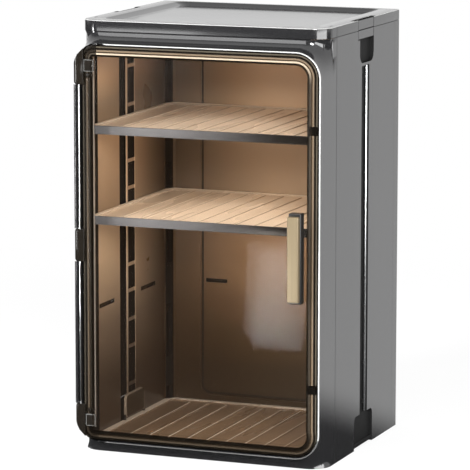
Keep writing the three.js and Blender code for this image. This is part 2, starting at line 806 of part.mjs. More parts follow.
addPair('wall_front', frontWall(), finish.shell);
addPair('wall_rear', rearWall(), finish.shell);
addPair('fold_pin', rod('z', rodX, fold.rodCentre, fold.rodRadius, fold.slotBottom + fit, slotTop - fit),
  finish.steel);
addPiece('front_right_seam_pin', frontSeam.pin, finish.steel);
addPiece('front_left_seam_pin', frontSeam.pin, finish.steel, true);
addPiece('rear_right_seam_pin', rearSeam.pin, finish.steel);
addPiece('rear_left_seam_pin', rearSeam.pin, finish.steel, true);

// Back: a plate with side returns, corner posts with hook slots and a grooved centre panel

function backPanel() {
  const corner = shell.rearRadius;
  const outer = roundedOutline(-halfWidth, halfWidth, backFront, shell.depth, [corner, corner, 0, 0]);
  const hollow = [
    new THREE.Vector2(-innerHalf, backFront - overrun),
    new THREE.Vector2(innerHalf, backFront - overrun),
    new THREE.Vector2(innerHalf, backFace - back.postDepth),
    new THREE.Vector2(innerHalf - back.postWidth, backFace),
    new THREE.Vector2(-innerHalf + back.postWidth, backFace),
    new THREE.Vector2(-innerHalf, backFace - back.postDepth),
  ];
  const body = cut(prism('z', outer, shell.footClearance, shellTop),
    prism('z', hollow, -overrun, shell.height));
  const slots = postSlotShares.map(([low, high]) => block(
    innerHalf - back.postWidth + back.slotInset, innerHalf - back.slotInset / 2,
    backFront - overrun, backFace - back.slotRear, low * shell.height, high * shell.height));
  const backSockets = socketTops.map((z) => block(socket.backInner, socket.backOuter,
    backFace - overrun, backFace + socket.depth, z - socket.height, z));
  const panel = (grow) => prism('y', evenOutline(-back.panelHalf - grow, back.panelHalf + grow,
    back.panelBottom - grow, shellTop - back.panelDrop + grow, back.panelRadius + grow),
  backFace - overrun, backFace + back.grooveDepth);
  const groove = cut(panel(back.grooveWidth), panel(0));
  return cut(join(body, ...both(...rearSeam.high.tongues)),
    ...both(...rearSeam.high.sockets, rearSeam.bore, ...slots, ...backSockets), groove);
}

addPiece('back_panel', backPanel(), finish.shell);

// Lid: rim round a sunk top, skirt, four locating bars below, and a notch for each latch

const pivotX = halfWidth - latch.pivotInset;
const pivotZ = shell.height - latch.pivotDrop;

function lidPlan(inset) {
  const front = shell.frontRadius - inset;
  const rear = shell.rearRadius - inset;
  return roundedOutline(-halfWidth + inset, halfWidth - inset, inset, shell.depth - inset,
    [rear, rear, front, front]);
}

function topCover() {
  const softening = lid.edge * (1 - Math.SQRT1_2);
  const body = loft([
    ringAt('z', lidPlan(0), lidBottom),
    ringAt('z', lidPlan(0), shell.height - lid.edge),
    ringAt('z', lidPlan(softening), shell.height - softening),
    ringAt('z', lidPlan(lid.edge), shell.height),
  ]);
  const sunk = (inset) => evenOutline(-halfWidth + lid.rim + inset, halfWidth - lid.rim - inset,
    lid.rim + inset, shell.depth - lid.rearRim - inset, lid.recessRadius - inset);
  const recessCutter = loft([
    ringAt('z', sunk(lid.slope), shell.height - lid.recess),
    ringAt('z', sunk(0), shell.height),
    ringAt('z', sunk(0), shell.height + overrun),
  ]);
  const ceiling = shell.height - lid.recess - lid.plate;
  const wall = lid.skirtWall;
  const under = prism('z', roundedOutline(-halfWidth + wall, halfWidth - wall, wall, shell.depth - wall,
    [wall, wall, shell.frontRadius - wall, shell.frontRadius - wall]), lidBottom - overrun, ceiling);
  const barBottom = lidBottom - lid.barDepth;
  const barOuter = innerHalf - lid.barInset;
  const sideBar = block(barOuter - lid.bar, barOuter, lid.sideBarFront, lid.sideBarRear,
    barBottom, ceiling + overlap);
  const frontY = jambBack + lid.barGap;
  const rearY = backFace - lid.barGap;
  const endBars = [[frontY, frontY + lid.bar], [rearY - lid.bar, rearY]].map(([y0, y1]) => block(
    -lid.endBarHalf, lid.endBarHalf, y0, y1, barBottom, ceiling + overlap));
  const notch = block(halfWidth - latch.slot, halfWidth + overrun, latch.front - latch.sideGap,
    latch.rear + latch.sideGap, lidBottom - overrun, shell.height + overrun);
  const pinBore = rod('y', pivotX, pivotZ, latch.pinRadius + fit,
    latch.front - latch.pinReach - fit, latch.rear + latch.pinReach + fit);
  const bars = join(cut(body, recessCutter, under), ...both(sideBar), ...endBars);
  return cut(bars, ...both(notch, pinBore));
}

addPiece('top_cover', topCover(), finish.shell);

// Lid latch: a plate on a barrel at its upper edge, with a hook that catches under the wall's ledge

function lidLatch() {
  const outer = halfWidth - latch.proud;
  const inner = outer - latch.thickness;
  const top = shell.height - latch.topInset;
  const plate = block(inner, outer, latch.front, latch.rear, latchBottom, top);
  const barrel = rod('y', pivotX, pivotZ, latch.barrel, latch.front, latch.rear);
  const hookZ = latchBottom + latch.hookLift;
  const hook = block(inner - latch.hookReach, inner + overlap, latch.front + latch.hookInset,
    latch.rear - latch.hookInset, hookZ, hookZ + latch.hookHeight);
  const bore = rod('y', pivotX, pivotZ, latch.pinRadius + fit, latch.front - overrun, latch.rear + overrun);
  const middle = (latchBottom + top) / 2;
  const groove = block(outer - latch.groove, outer + overrun, latch.front - overrun, latch.rear + overrun,
    middle - latch.grooveHeight / 2, middle + latch.grooveHeight / 2);
  return cut(join(plate, barrel, hook), bore, groove);
}

addPair('lid_latch', lidLatch(), finish.shell);
addPair('latch_pin', rod('y', pivotX, pivotZ, latch.pinRadius, latch.front - latch.pinReach,
  latch.rear + latch.pinReach), finish.steel);

// Shelves: ribbed trays with tabs for the wall and back sockets, each with a trim along its front

const shelfHalf = innerHalf - shelf.sideGap;
const shelfRear = backFace - shelf.rearGap;

function shelfTray(top) {
  const plan = trayPlan(shelfHalf, shelf.front, shelfRear, shelf.rearGap);
  const plateTop = top - ribs.height;
  const bottom = top - shelf.thickness;
  const inset = cell.web * 2;
  const pockets = cells(-innerHalf + back.postWidth, innerHalf - back.postWidth, shelf.front + inset,
    shelfRear - inset, bottom - overrun, plateTop - cell.plate);
  const crests = ribField(shelf.ribPitch, shelfHalf - shelf.border, shelf.front + ribs.endInset,
    shelfRear - shelf.border - ribs.endInset, top);
  const rearBorder = block(-innerHalf + back.postWidth, innerHalf - back.postWidth, shelfRear - shelf.border,
    shelfRear, plateTop - overlap, top);
  const sideBorder = block(shelfHalf - shelf.border, shelfHalf, shelf.front,
    backFace - back.postDepth - shelf.rearGap, plateTop - overlap, top);
  const tabTop = top - shelf.tabDrop;
  const sideTabs = [socket.sideFront, socket.sideRear].map((y) => block(shelfHalf - overlap,
    innerHalf + shelf.tabReach, y + fit, y + socket.sideLength - fit, tabTop - shelf.tabHeight, tabTop));
  const rearTab = block(socket.backInner + fit, socket.backOuter - fit, shelfRear - overlap,
    backFace + shelf.tabReach, tabTop - shelf.tabHeight, tabTop);
  return join(cut(prism('z', plan, bottom, plateTop), ...pockets), ...crests, rearBorder,
    ...both(sideBorder, ...sideTabs, rearTab));
}

function shelfTrim(top) {
  const rear = shelf.front - fit;
  const front = rear - shelf.trimDepth;
  const crest = top + shelf.trimProud;
  const bottom = top - shelf.thickness;
  const edge = shelf.trimEdge;
  const section = [
    new THREE.Vector2(front, bottom + edge),
    new THREE.Vector2(front + edge, bottom),
    new THREE.Vector2(rear, bottom),
    new THREE.Vector2(rear, crest),
    new THREE.Vector2(front + edge, crest),
    new THREE.Vector2(front, crest - edge),
  ];
  return prism('x', section, -shelfHalf, shelfHalf);
}

for (const [name, level] of Object.entries(usedLevels)) {
  addPiece(name, shelfTray(levelTops[level]), finish.shelf);
  addPiece(`${name}_trim`, shelfTrim(levelTops[level]), finish.trim);
}

// Floor: a ribbed tray with tongues in the wall arches, ears for the locking flaps, and rubber pads

const lockX = innerHalf - lock.wallGap - lock.thickness / 2;
const earFront = [lock.front - lock.earGap - lock.ear, lock.front - lock.earGap];
const earRear = [lock.rear + lock.earGap, lock.rear + lock.earGap + lock.ear];
const trayFront = jambBack + fit;
const footPlaces = [
  [innerHalf - foot.inset, trayFront + foot.inset],
  [innerHalf - foot.inset, backFace - foot.inset],
];

function baseTray() {
  const half = innerHalf - fit;
  const rear = backFace - fit;
  const plateTop = base.top - ribs.height;
  const inset = cell.web * 2;
  const pockets = cells(-innerHalf + back.postWidth, innerHalf - back.postWidth,
    trayFront + inset, rear - inset, -overrun, plateTop - cell.plate);
  const bosses = footPlaces.map(([x, y]) => rod('z', x, y, foot.radius + foot.bossWall,
    base.bottom, plateTop - overlap));
  const beds = footPlaces.map(([x, y]) => rod('z', x, y, foot.radius + fit, -overrun, foot.thickness + fit));
  const crests = ribField(base.ribPitch, half - base.border, trayFront + base.border + ribs.endInset,
    rear - base.border - ribs.endInset, base.top);
  const endStrips = [[trayFront, trayFront + base.border], [rear - base.border, rear]];
  const endBorders = endStrips.map(([y0, y1]) => block(
    -innerHalf + back.postWidth, innerHalf - back.postWidth, y0, y1, plateTop - overlap, base.top));
  const sideBorder = block(half - base.border, half, trayFront, backFace - back.postDepth - fit,
    plateTop - overlap, base.top);
  const tongue = block(half - overlap, half + base.archTongue, arch.front + fit, arch.rear - fit,
    base.bottom + base.archTongueLift, base.bottom + base.archTongueLift + base.archTongueHeight);
  const ears = [earFront, earRear].map(([y0, y1]) => block(lockX - lock.thickness / 2, half, y0, y1,
    base.top - overlap, lock.pivotHeight + lock.earHeight));
  const earBore = rod('y', lockX, lock.pivotHeight, lock.pinRadius + fit,
    earFront[0] - overrun, earRear[1] + overrun);
  const body = join(cut(prism('z', trayPlan(half, trayFront, rear, fit), base.bottom, plateTop), ...pockets),
    ...both(...bosses));
  const dressed = join(body, ...crests, ...endBorders, ...both(sideBorder, tongue, ...ears));
  return cut(dressed, ...both(...beds, earBore));
}

function floorLock() {
  const plate = prism('x',
    roundedOutline(lock.front, lock.rear, lock.pivotHeight, lock.top, [lock.radius, lock.radius, 0, 0]),
    lockX - lock.thickness / 2, lockX + lock.thickness / 2);
  const barrel = rod('y', lockX, lock.pivotHeight, lock.barrel, lock.front, lock.rear);
  const bore = rod('y', lockX, lock.pivotHeight, lock.pinRadius + fit,
    lock.front - overrun, lock.rear + overrun);
  return cut(join(plate, barrel), bore);
}

addPiece('base_tray', baseTray(), finish.shelf);
addPair('floor_lock', floorLock(), finish.shell);
addPair('lock_pin', rod('y', lockX, lock.pivotHeight, lock.pinRadius, earFront[0], earRear[1]), finish.steel);
['front', 'rear'].forEach((end, i) => {
  const pad = rod('z', ...footPlaces[i], foot.radius, 0, foot.thickness);
  addPiece(`${end}_right_foot`, pad, finish.rubber);
  addPiece(`${end}_left_foot`, pad, finish.rubber, true);
});

// The footprint's centre, from the handle's front to the back's rear face, is the origin
const handleFront = capRear - handle.capDepth;
cabinet.position.y = -(handleFront + shell.depth) / 2;

export default cabinet;
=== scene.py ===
import math

import bmesh
import bpy
import numpy as np
from mathutils import Matrix, Vector


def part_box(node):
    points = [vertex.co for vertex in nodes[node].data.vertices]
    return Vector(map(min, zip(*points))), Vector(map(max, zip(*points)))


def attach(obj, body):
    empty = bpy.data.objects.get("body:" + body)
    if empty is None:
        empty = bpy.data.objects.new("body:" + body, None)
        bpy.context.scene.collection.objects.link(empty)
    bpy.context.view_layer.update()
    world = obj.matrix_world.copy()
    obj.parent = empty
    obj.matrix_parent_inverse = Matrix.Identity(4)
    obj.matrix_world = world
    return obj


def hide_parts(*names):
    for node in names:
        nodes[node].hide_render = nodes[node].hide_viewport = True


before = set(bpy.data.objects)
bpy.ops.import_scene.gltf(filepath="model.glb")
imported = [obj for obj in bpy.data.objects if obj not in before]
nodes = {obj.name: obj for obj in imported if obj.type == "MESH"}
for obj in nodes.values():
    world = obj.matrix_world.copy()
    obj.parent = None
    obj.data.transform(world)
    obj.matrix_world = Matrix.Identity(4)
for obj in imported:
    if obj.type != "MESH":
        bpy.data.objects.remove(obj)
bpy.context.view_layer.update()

# Smoked-door cup storage cabinet. Sizes are millimetres, X across, Z up and Y from the lid's front
# plane backwards; addPiece turns them into the frame's metres.
mm = 0.001
weldReach = 2e-6
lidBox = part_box("top_cover")
lidFront = lidBox[0].y


def edgesOf(node):
    # lowest and highest corner of a node of the frame, in this script's millimetres
    low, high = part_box(node)
    shift = Vector((0, lidFront, 0))
    return (low - shift) / mm, (high - shift) / mm


lidLow, lidHigh = edgesOf("top_cover")
frameLow, frameHigh = edgesOf("front_frame")
pinLow, pinHigh = edgesOf("door_hinge_pin")
lockLow, lockHigh = edgesOf("right_floor_lock")
halfWidth = lidHigh.x
print("frame loaded:", len(nodes), "nodes")


# Shader maths

class Signal:
    # one output of a shader node that takes part in sums
    def __init__(self, finish, socket):
        self.finish = finish
        self.socket = socket

    def math(self, operation, first, second=0.0):
        return self.finish.node("ShaderNodeMath", {"operation": operation}, {0: first, 1: second})

    def __add__(self, other):
        return self.math("ADD", self, other)

    def __radd__(self, other):
        return self.math("ADD", other, self)

    def __sub__(self, other):
        return self.math("SUBTRACT", self, other)

    def __rsub__(self, other):
        return self.math("SUBTRACT", other, self)

    def __mul__(self, other):
        return self.math("MULTIPLY", self, other)

    def __rmul__(self, other):
        return self.math("MULTIPLY", other, self)

    def __gt__(self, other):
        return self.math("GREATER_THAN", self, other)

    def __lt__(self, other):
        return self.math("LESS_THAN", self, other)

    def size(self):
        return self.math("ABSOLUTE", self)

    def root(self):
        return self.math("SQRT", self)

    def power(self, exponent):
        return self.math("POWER", self, exponent)

    def orElse(self, other):
        return self.math("MAXIMUM", self, other)

    atLeast = orElse


class Finish:
    # a material, or the world, with one method that adds any node
    def __init__(self, owner):
        self.owner = owner
        owner.use_nodes = True
        self.tree = owner.node_tree
        self.tree.nodes.clear()

    def node(self, kind, settings=None, values=None, output=0):
        made = self.tree.nodes.new(kind)
        for key, value in (settings or {}).items():
            if key == "stops":
                self.setStops(made.color_ramp, value)
            else:
                setattr(made, key, value)
        for key, value in (values or {}).items():
            socket = made.inputs[key]
            if isinstance(value, Signal):
                self.tree.links.new(value.socket, socket)
            else:
                socket.default_value = (*value, 1) if socket.type == "RGBA" else value
        return Signal(self, made.outputs[output]) if len(made.outputs) else made

    def setStops(self, ramp, stops):
        while len(ramp.elements) > 1:
            ramp.elements.remove(ramp.elements[-1])
        for i, (position, colour) in enumerate(stops):
            element = ramp.elements[0] if i == 0 else ramp.elements.new(position)
            element.position = position
            element.color = (*colour, 1)

    def place(self):
        # where a point lies on the cabinet, in metres
        return self.node("ShaderNodeTexCoord", output="Object")

    def metres(self, axis):
        return self.node("ShaderNodeSeparateXYZ", {}, {0: self.place()}, output=axis)

    def along(self, axis):
        # the same in this script's millimetres
        return (self.metres(axis) - (lidFront if axis == "Y" else 0.0)) * (1 / mm)

    def noise(self, scale, detail=2.0, stretch=(1, 1, 1)):
        mapped = self.node("ShaderNodeMapping", {}, {"Vector": self.place(), "Scale": stretch})
        return self.node("ShaderNodeTexNoise", {}, {"Vector": mapped, "Scale": scale, "Detail": detail})

    def blend(self, share, first, second):
        values = {0: share, 6: first, 7: second}
        return self.node("ShaderNodeMix", {"data_type": "RGBA"}, values, output=2)

    def ramp(self, value, span, levels=(0.0, 1.0), kind="SMOOTHSTEP"):
        # goes from the first level to the second while the value crosses the span
        return self.node("ShaderNodeMapRange", {"interpolation_type": kind}, {
            "Value": value, "From Min": span[0], "From Max": span[1],
            "To Min": levels[0], "To Max": levels[1]})

    def bump(self, height, strength):
        values = {"Height": height, "Strength": strength, "Distance": 0.0002}
        return self.node("ShaderNodeBump", {}, values)

    def coat(self, colour, roughness, more=None):
        values = {"Base Color": colour, "Roughness": roughness, **(more or {})}
        return self.node("ShaderNodeBsdfPrincipled", {}, values)

    def mixed(self, share, first, second):
        return self.node("ShaderNodeMixShader", {}, {0: share, 1: first, 2: second})

    def rays(self):
        # whether a ray comes from the camera, from a reflection or through something clear
        kinds = ("Camera", "Glossy", "Transmission")
        return [self.node("ShaderNodeLightPath", output=f"Is {kind} Ray") for kind in kinds]

    def surface(self, shader):
        self.node("ShaderNodeOutputMaterial", {}, {"Surface": shader})
        return self.owner


def newFinish(name):
    return Finish(bpy.data.materials.new(name))


def between(value, low, high):
    # 1 where a signal lies inside the limits, else 0
    return (value > low) * (value < high)


def within(at, boxes):
    # 1 where a point lies in any of the boxes, which have their limits by axis
    share = 0.0
    for box in boxes:
        inside = 1.0
        for axis, (low, high) in box.items():
            inside = between(at[axis], low, high) * inside
        share = inside.orElse(share)
    return share


def edgeInset(f, spanX, spanZ, radius, across=None):
    # how far a point lies inside an upright rounded rectangle, up to the corner radius: the radius
    # less the distance past the corner's centre, counted only outwards
    def past(value, low, high):
        return ((value - (low + high) / 2).size() - ((high - low) / 2 - radius)).atLeast(0)

    pastX, pastZ = past(across or f.along("X"), *spanX), past(f.along("Z"), *spanZ)
    return radius - (pastX * pastX + pastZ * pastZ).root()


def bands(f, value, stops, reach):
    # colours that change along a length
    marks = [(at / reach, colour) for at, colour in stops]
    return f.node("ShaderNodeValToRGB", {"stops": marks}, {0: value * (1 / reach)})


# Materials

bezelBottom, bezelTop, bezelRadius = 17.0, 556.0, 35.0
beyond = 999.0
latchFrom, latchSpan, latchHeights = (165.0, beyond), (127.0, 189.0), (557.6, 584.2)
hingeJamb, rungs = (-beyond, 10.7), {"x": (166.5, 168.8), "z": (47.0, 522.0)}
shellFinish = {
    "outside": (0.009, 0.009, 0.0095),
    # painted light and shade by height on the side walls: darker to the floor and at each bay's foot
    "sides": [
        (20, (0.029, 0.019, 0.013)), (83, (0.045, 0.031, 0.021)), (163, (0.15, 0.113, 0.081)),
        (256, (0.445, 0.328, 0.215)), (308, (0.44, 0.32, 0.21)), (322, (0.255, 0.178, 0.112)),
        (375, (0.33, 0.232, 0.149)), (430, (0.39, 0.273, 0.177)), (444, (0.23, 0.168, 0.11)),
        (468, (0.235, 0.174, 0.115)), (501, (0.44, 0.302, 0.19)), (560, (0.485, 0.33, 0.208))],
    # painted light and shade by height on the back wall: darker to the floor, lightest in the top bay
    "back": [
        (20, (0.025, 0.015, 0.006)), (65, (0.032, 0.020, 0.008)), (120, (0.105, 0.064, 0.030)),
        (163, (0.26, 0.157, 0.081)), (210, (0.55, 0.342, 0.18)), (236, (0.68, 0.42, 0.222)),
        (312, (0.69, 0.45, 0.258)), (318, (0.54, 0.41, 0.285)), (436, (0.56, 0.43, 0.305)),
        (444, (0.94, 0.72, 0.49)), (560, (0.96, 0.74, 0.51))],
    "reach": 600,
    # painted shade towards the rear and to the left inside: its colour, its share and where it falls
    "backShadeColour": (0.024, 0.014, 0.007),
    "backShadeShare": 0.79,
    "rearShade": {"depth": (160, 290), "across": (-160, 0), "levels": (1.0, 0.1)},
    # painted highlight: light lines on the rails beside the fold slots inside, stronger higher up
    "ladderHighlight": (0.95, 0.76, 0.55),
    "ladderHighlightAt": [{**rungs, "y": (140.5, 145.5)}, {**rungs, "y": (169.8, 173.5)}],
    "ladderHighlightByHeight": {"height": (50, 300), "levels": (0.12, 0.6)},
    "hingeLedge": (0.24, 0.205, 0.175),
    "hingeSide": [{"across": (-beyond, -156.4), "y": hingeJamb}],
    "jambLine": (0.30, 0.29, 0.27),
    "jambLineAt": [{"across": (-157.6, -156.4), "y": (5.4, 9.8)}],
    # near-black of the painted shade in recesses, and its grain
    "hollow": (0.006, 0.006, 0.006),
    "hollowGrain": (0.012, 0.012, 0.012),
    # painted highlight on the bezel's lip, weaker on its lower run, and on the lid's upper edge
    "lip": (0.30, 0.30, 0.295),
    "lowLipHighlight": (0.07, 0.07, 0.069),
    "lowLipHighlightTop": 45.0,
    "roughness": 0.12,
    "insideRoughness": 0.16,
    "smudge": 0.03,
    "smudges": (9.0, 4.0),
    "grain": 900.0,
    "grainHeight": 0.05,
    "gloss": 1.68,
    "dullRoughness": 0.6,
    "dull": {"Specular IOR Level": 0.06},
    "innerFace": 168.3,
    "jambBack": 10.7,
    "sillBack": 27.5,
    "backWall": 284.0,
    "backFace": 293.8,
    "ceiling": 577.5,
    "rabbetFloor": -3.7,
    "lipWidth": 1.9,
    "lipHighlightLine": (-1.0, 1.3),
    "lipFront": -18.6,
    "lidEdgeHighlight": {"z": (584.1, 584.9), "fromX": 156.0, "toY": 20.0},
    # the back panel's middle, round which a dark line is painted as shade in its groove
    "panel": {
        "x": (-115.5, 115.5), "z": (25.0, 545.3), "radius": 14.0, "line": (-0.4, 2.6), "fromY": 286.0},
    # painted shade, black and dull, in the slots of the folds, the folds at the front and the corner
    # posts; dark seams outside and round the latches
    "recessShadeAndSeams": [
        {"x": (168.3, 174.6), "y": (112.0, 197.0)},
        {"x": (166.0, 168.3), "y": (36.0, 46.0)},
        {"x": (158.5, 167.5), "y": (279.5, 293.0), "z": (8.0, 560.0)},
        {"x": (174.5, beyond), "y": (41.5, 42.5)},
        {"x": latchFrom, "y": (126.3, 127.7), "z": latchHeights},
        {"x": latchFrom, "y": (188.3, 189.7), "z": latchHeights},
        {"x": latchFrom, "y": latchSpan, "z": (557.6, 559.3)},
        {"x": latchFrom, "y": latchSpan, "z": (570.4, 571.6)}],
    # painted shade, black and dull, in the grooves and channel beside the pin and on the two ends of
    # the hinge side's ledge
    "hingeRecessShade": [
        {"across": (-beyond, -156.4), "y": (-2.2, 10.7)},
        {"across": (-beyond, -165.4), "y": (-13.5, 10.7)},
        {"across": (-beyond, -148.5), "y": hingeJamb, "z": (-beyond, 34.5)},
        {"across": (-beyond, -148.5), "y": hingeJamb, "z": (538.5, beyond)}],
}


def makeShellPlastic(name, paintsInsideLight):
    # Glossy dark grey moulding. Its inner faces are painted a light warm colour that stands in for the
    # light inside the cabinet, with painted shade that darkens it towards the floor, at the foot of each
    # bay and towards the rear left; the ledge beside the hinge is a warm greyish brown. The slots in the
    # sides, the folds at the front and the corner posts are painted black and dull as shade, and the back
    # panel's groove as a black line; the seams outside and round the latches are dark. The bezel's lip
    # and the lid's upper edge carry painted pale highlights, and the rails beside the fold slots painted
    # light lines.
    d = shellFinish
    f = newFinish(name)
    at = {"across": f.along("X"), "x": f.along("X").size(), "y": f.along("Y"), "z": f.along("Z")}
    x, y, z = at["x"], at["y"], at["z"]
    inset = edgeInset(f, (-halfWidth, halfWidth), (bezelBottom, bezelTop), bezelRadius)
    pastLip = inset > d["lipWidth"]
    hingeSide = within(at, d["hingeSide"])
    jambLine = within(at, d["jambLineAt"])
    ledge = pastLip * (y > d["rabbetFloor"]) * hingeSide
    walls = (x < d["innerFace"]) * (y > d["jambBack"]) * (y > d["sillBack"]).orElse(pastLip)
    # inner faces that carry the painted inside light
    paintedInsideLight = walls.orElse(ledge) * (y < d["backFace"]) * (z < d["ceiling"]) * float(paintsInsideLight)
    # painted highlights along the bezel's lip and along the lid's upper edge
    lip = between(inset, *d["lipHighlightLine"]) * (y < d["lipFront"])
    lidEdgeHighlight = between(z, *d["lidEdgeHighlight"]["z"]) * (x > d["lidEdgeHighlight"]["fromX"]).orElse(y < d["lidEdgeHighlight"]["toY"])

    reach, rearShade, light = d["reach"], d["rearShade"], d["ladderHighlightByHeight"]
    # painted inside light: a colour by height on the side walls and another on the back wall
    inside = f.blend(y > d["backWall"], bands(f, z, d["sides"], reach), bands(f, z, d["back"], reach))
    # painted shade that deepens towards the back wall and to the left
    rear = f.ramp(y, rearShade["depth"], (0.0, d["backShadeShare"]))
    leftwardShade = f.ramp(at["across"], rearShade["across"], rearShade["levels"])
    inside = f.blend(rear * leftwardShade, inside, d["backShadeColour"])
    # painted highlight on the rails beside the fold slots, stronger higher up
    height = f.ramp(z, light["height"], light["levels"], "LINEAR")
    inside = f.blend(within(at, d["ladderHighlightAt"]) * height, inside, d["ladderHighlight"])
    # painted shade: a dark line in the groove round the back panel's middle
    panel = edgeInset(f, d["panel"]["x"], d["panel"]["z"], d["panel"]["radius"])
    grooveShade = between(panel, *d["panel"]["line"]) * (y > d["panel"]["fromY"])
    inside = f.blend(grooveShade, inside, d["hollow"])
    inside = f.blend(hingeSide, inside, d["hingeLedge"])
    inside = f.blend(jambLine, inside, d["jambLine"])

    smudges = f.noise(*d["smudges"])
    roughness = d["roughness"] + (smudges - 0.5) * d["smudge"] + paintedInsideLight * d["insideRoughness"]
    grain = f.noise(d["grain"])
    paintedEdgeHighlight = f.blend(z < d["lowLipHighlightTop"], d["lip"], d["lowLipHighlight"])
    colour = f.blend(lip.orElse(lidEdgeHighlight), f.blend(paintedInsideLight, d["outside"], inside), paintedEdgeHighlight)
    glossy = f.coat(colour, roughness, {"IOR": d["gloss"], "Normal": f.bump(grain, d["grainHeight"])})
    # black dull shader: painted shade in the recesses, and the dark seams
    dull = f.coat(f.blend(grain, d["hollow"], d["hollowGrain"]), d["dullRoughness"], d["dull"])
    recessShadeAndSeams = within(at, d["recessShadeAndSeams"]).orElse(within(at, d["hingeRecessShade"]) * pastLip * (1 - jambLine))
    return f.surface(f.mixed(recessShadeAndSeams, glossy, dull))


doorFinish = {
    "tint": (0.94, 0.915, 0.89),
    "body": (0.020, 0.012, 0.007),
    "clearest": 0.01,
    "darkest": 0.04,
    "clearingSpan": (20, 500),
    "straightOn": 0.04,
    "dense": (0.016, 0.013, 0.010),
    # painted reflections and highlights over the rim and step: colours by the distance in from the edge
    "border": [
        (0.0, (0.01, 0.009, 0.007)), (0.6, (0.05, 0.043, 0.032)), (1.8, (0.05, 0.043, 0.032)),
        (2.4, (0.003, 0.002, 0.001)), (4.7, (0.003, 0.002, 0.001)), (5.3, (0.095, 0.072, 0.05)),
        (6.9, (0.105, 0.078, 0.052)), (7.6, (0.024, 0.015, 0.008)), (8.8, (0.024, 0.015, 0.008)),
        (9.1, (0.003, 0.002, 0.001)), (15.0, (0.003, 0.002, 0.001))],
    "borderReach": 15.0,
    "borderSpan": (0.1, 13.5),
    "borderShare": 0.88,
    "cornerReach": (40, 8),
    # painted cream highlight along the step: where it lies, its colour, and how strong at top and sides
    "light": (9.1, 11.2),
    "creamHighlight": (0.34, 0.28, 0.21),
    "black": (0.002, 0.0015, 0.001),
    "highlightTop": 0.9,
    "highlightSides": 0.08,
    # painted lines dimmed to black on the hinge side, at the corners and at the bottom
    "hingeTo": -141.5,
    "hingeDim": 0.55,
    "cornerDim": 0.9,
    "lowDim": 0.7,
    "sideShift": 0.9,
    "lowShift": 2.0,
    "magnets": (453.7, 111.7),
    "magnetHalf": 6.0,
    "magnetFrom": 150.0,
    "grazing": 5.0,
    "flow": (14.0, 3.0),
    "bodyFlow": 0.3,
    "bodyRoughness": 0.06,
    "bodyCoat": {"IOR": 1.5, "Coat Weight": 0.5, "Coat Roughness": 0.05},
    "lineFlow": 0.1,
    "lineRoughness": 0.4,
    "lineCoat": {"Specular IOR Level": 0.04},
}


def makeSmokedDoor():
    # See-through amber plastic, a little denser towards the bottom and at grazing angles. Over its rim
    # and the step round its middle, opaque dark and light lines side by side are painted reflections and
    # highlights, with a painted cream highlight along the step; they are dimmed on the hinge side and at
    # the bottom, and the magnets show black through them.
    d = doorFinish
    f = newFinish("smoked amber plastic")
    x, z = f.along("X"), f.along("Z")
    middle, half = (doorBottom + doorTop) / 2, (doorTop - doorBottom) / 2
    spans = (doorLeft, doorEdge), (doorBottom, doorTop)
    onRight = x > 0.0
    inset = (edgeInset(f, *spans, door["corner"]) * onRight
             + edgeInset(f, *spans, door["leftCorner"]) * (1 - onRight))
    upright = f.ramp((z - middle).size(), [half - reach for reach in d["cornerReach"]], (1.0, 0.0))
    upper = z > middle
    ends = 1 - upright
    depth = inset - upright * d["sideShift"] + ends * (1 - upper) * d["lowShift"]
    # painted highlight: strong along the top, faint down the sides
    highlightStrength = ends * upper * d["highlightTop"] + upright * d["highlightSides"]
    paintedLines = bands(f, depth, d["border"], d["borderReach"])
    paintedLines = f.blend(between(depth, *d["light"]) * highlightStrength, paintedLines, d["creamHighlight"])
    high, low = [(z - at).size() < d["magnetHalf"] for at in d["magnets"]]
    magnets = high.orElse(low) * (x > d["magnetFrom"])
    # painted reflections dimmed on the hinge side and at the bottom
    dim = (x < d["hingeTo"]) * (upright * d["hingeDim"] + ends * d["cornerDim"])
    dim = dim.orElse(ends * (1 - upper) * d["lowDim"])
    paintedLines = f.blend(magnets.orElse(dim), paintedLines, d["black"])
    border = between(depth, *d["borderSpan"])

    # mirrors more at grazing angles: the share seen straight on, plus the rest by the fifth power
    facing = f.node("ShaderNodeLayerWeight", {}, {"Blend": 0.5}, output="Facing")
    edge = facing.power(d["grazing"]) * (1 - d["straightOn"]) + d["straightOn"]
    # a little less clear towards the bottom
    density = d["darkest"] + f.ramp(z, d["clearingSpan"], kind="LINEAR") * (d["clearest"] - d["darkest"])
    tinted = f.node("ShaderNodeBsdfTransparent", {}, {"Color": d["tint"]})
    flow = f.noise(*d["flow"])
    body = f.coat(f.blend(flow * d["bodyFlow"], d["body"], d["dense"]), d["bodyRoughness"], d["bodyCoat"])
    clear = f.mixed(density + edge * (1 - density), tinted, body)
    # the painted lines as a dull opaque surface over the border
    line = f.coat(f.blend(flow * d["lineFlow"], paintedLines, d["dense"]), d["lineRoughness"], d["lineCoat"])
    return f.surface(f.mixed(border * d["borderShare"], clear, line))


denseFinish = {
    "body": ((0.004, 0.0035, 0.003), (0.009, 0.007, 0.005)),
    # painted highlight along the edge of the plates beside the end knuckles
    "paintedEdgeHighlight": (0.07, 0.07, 0.067),
    "edgeHighlightLine": (-1.0, 0.3),
    "flow": (40.0, 3.0),
    "roughness": (0.08, 0.08),
    "gloss": {"IOR": 1.38},
    "dullRoughness": 0.5,
    "dull": {"Specular IOR Level": 0.05},
}


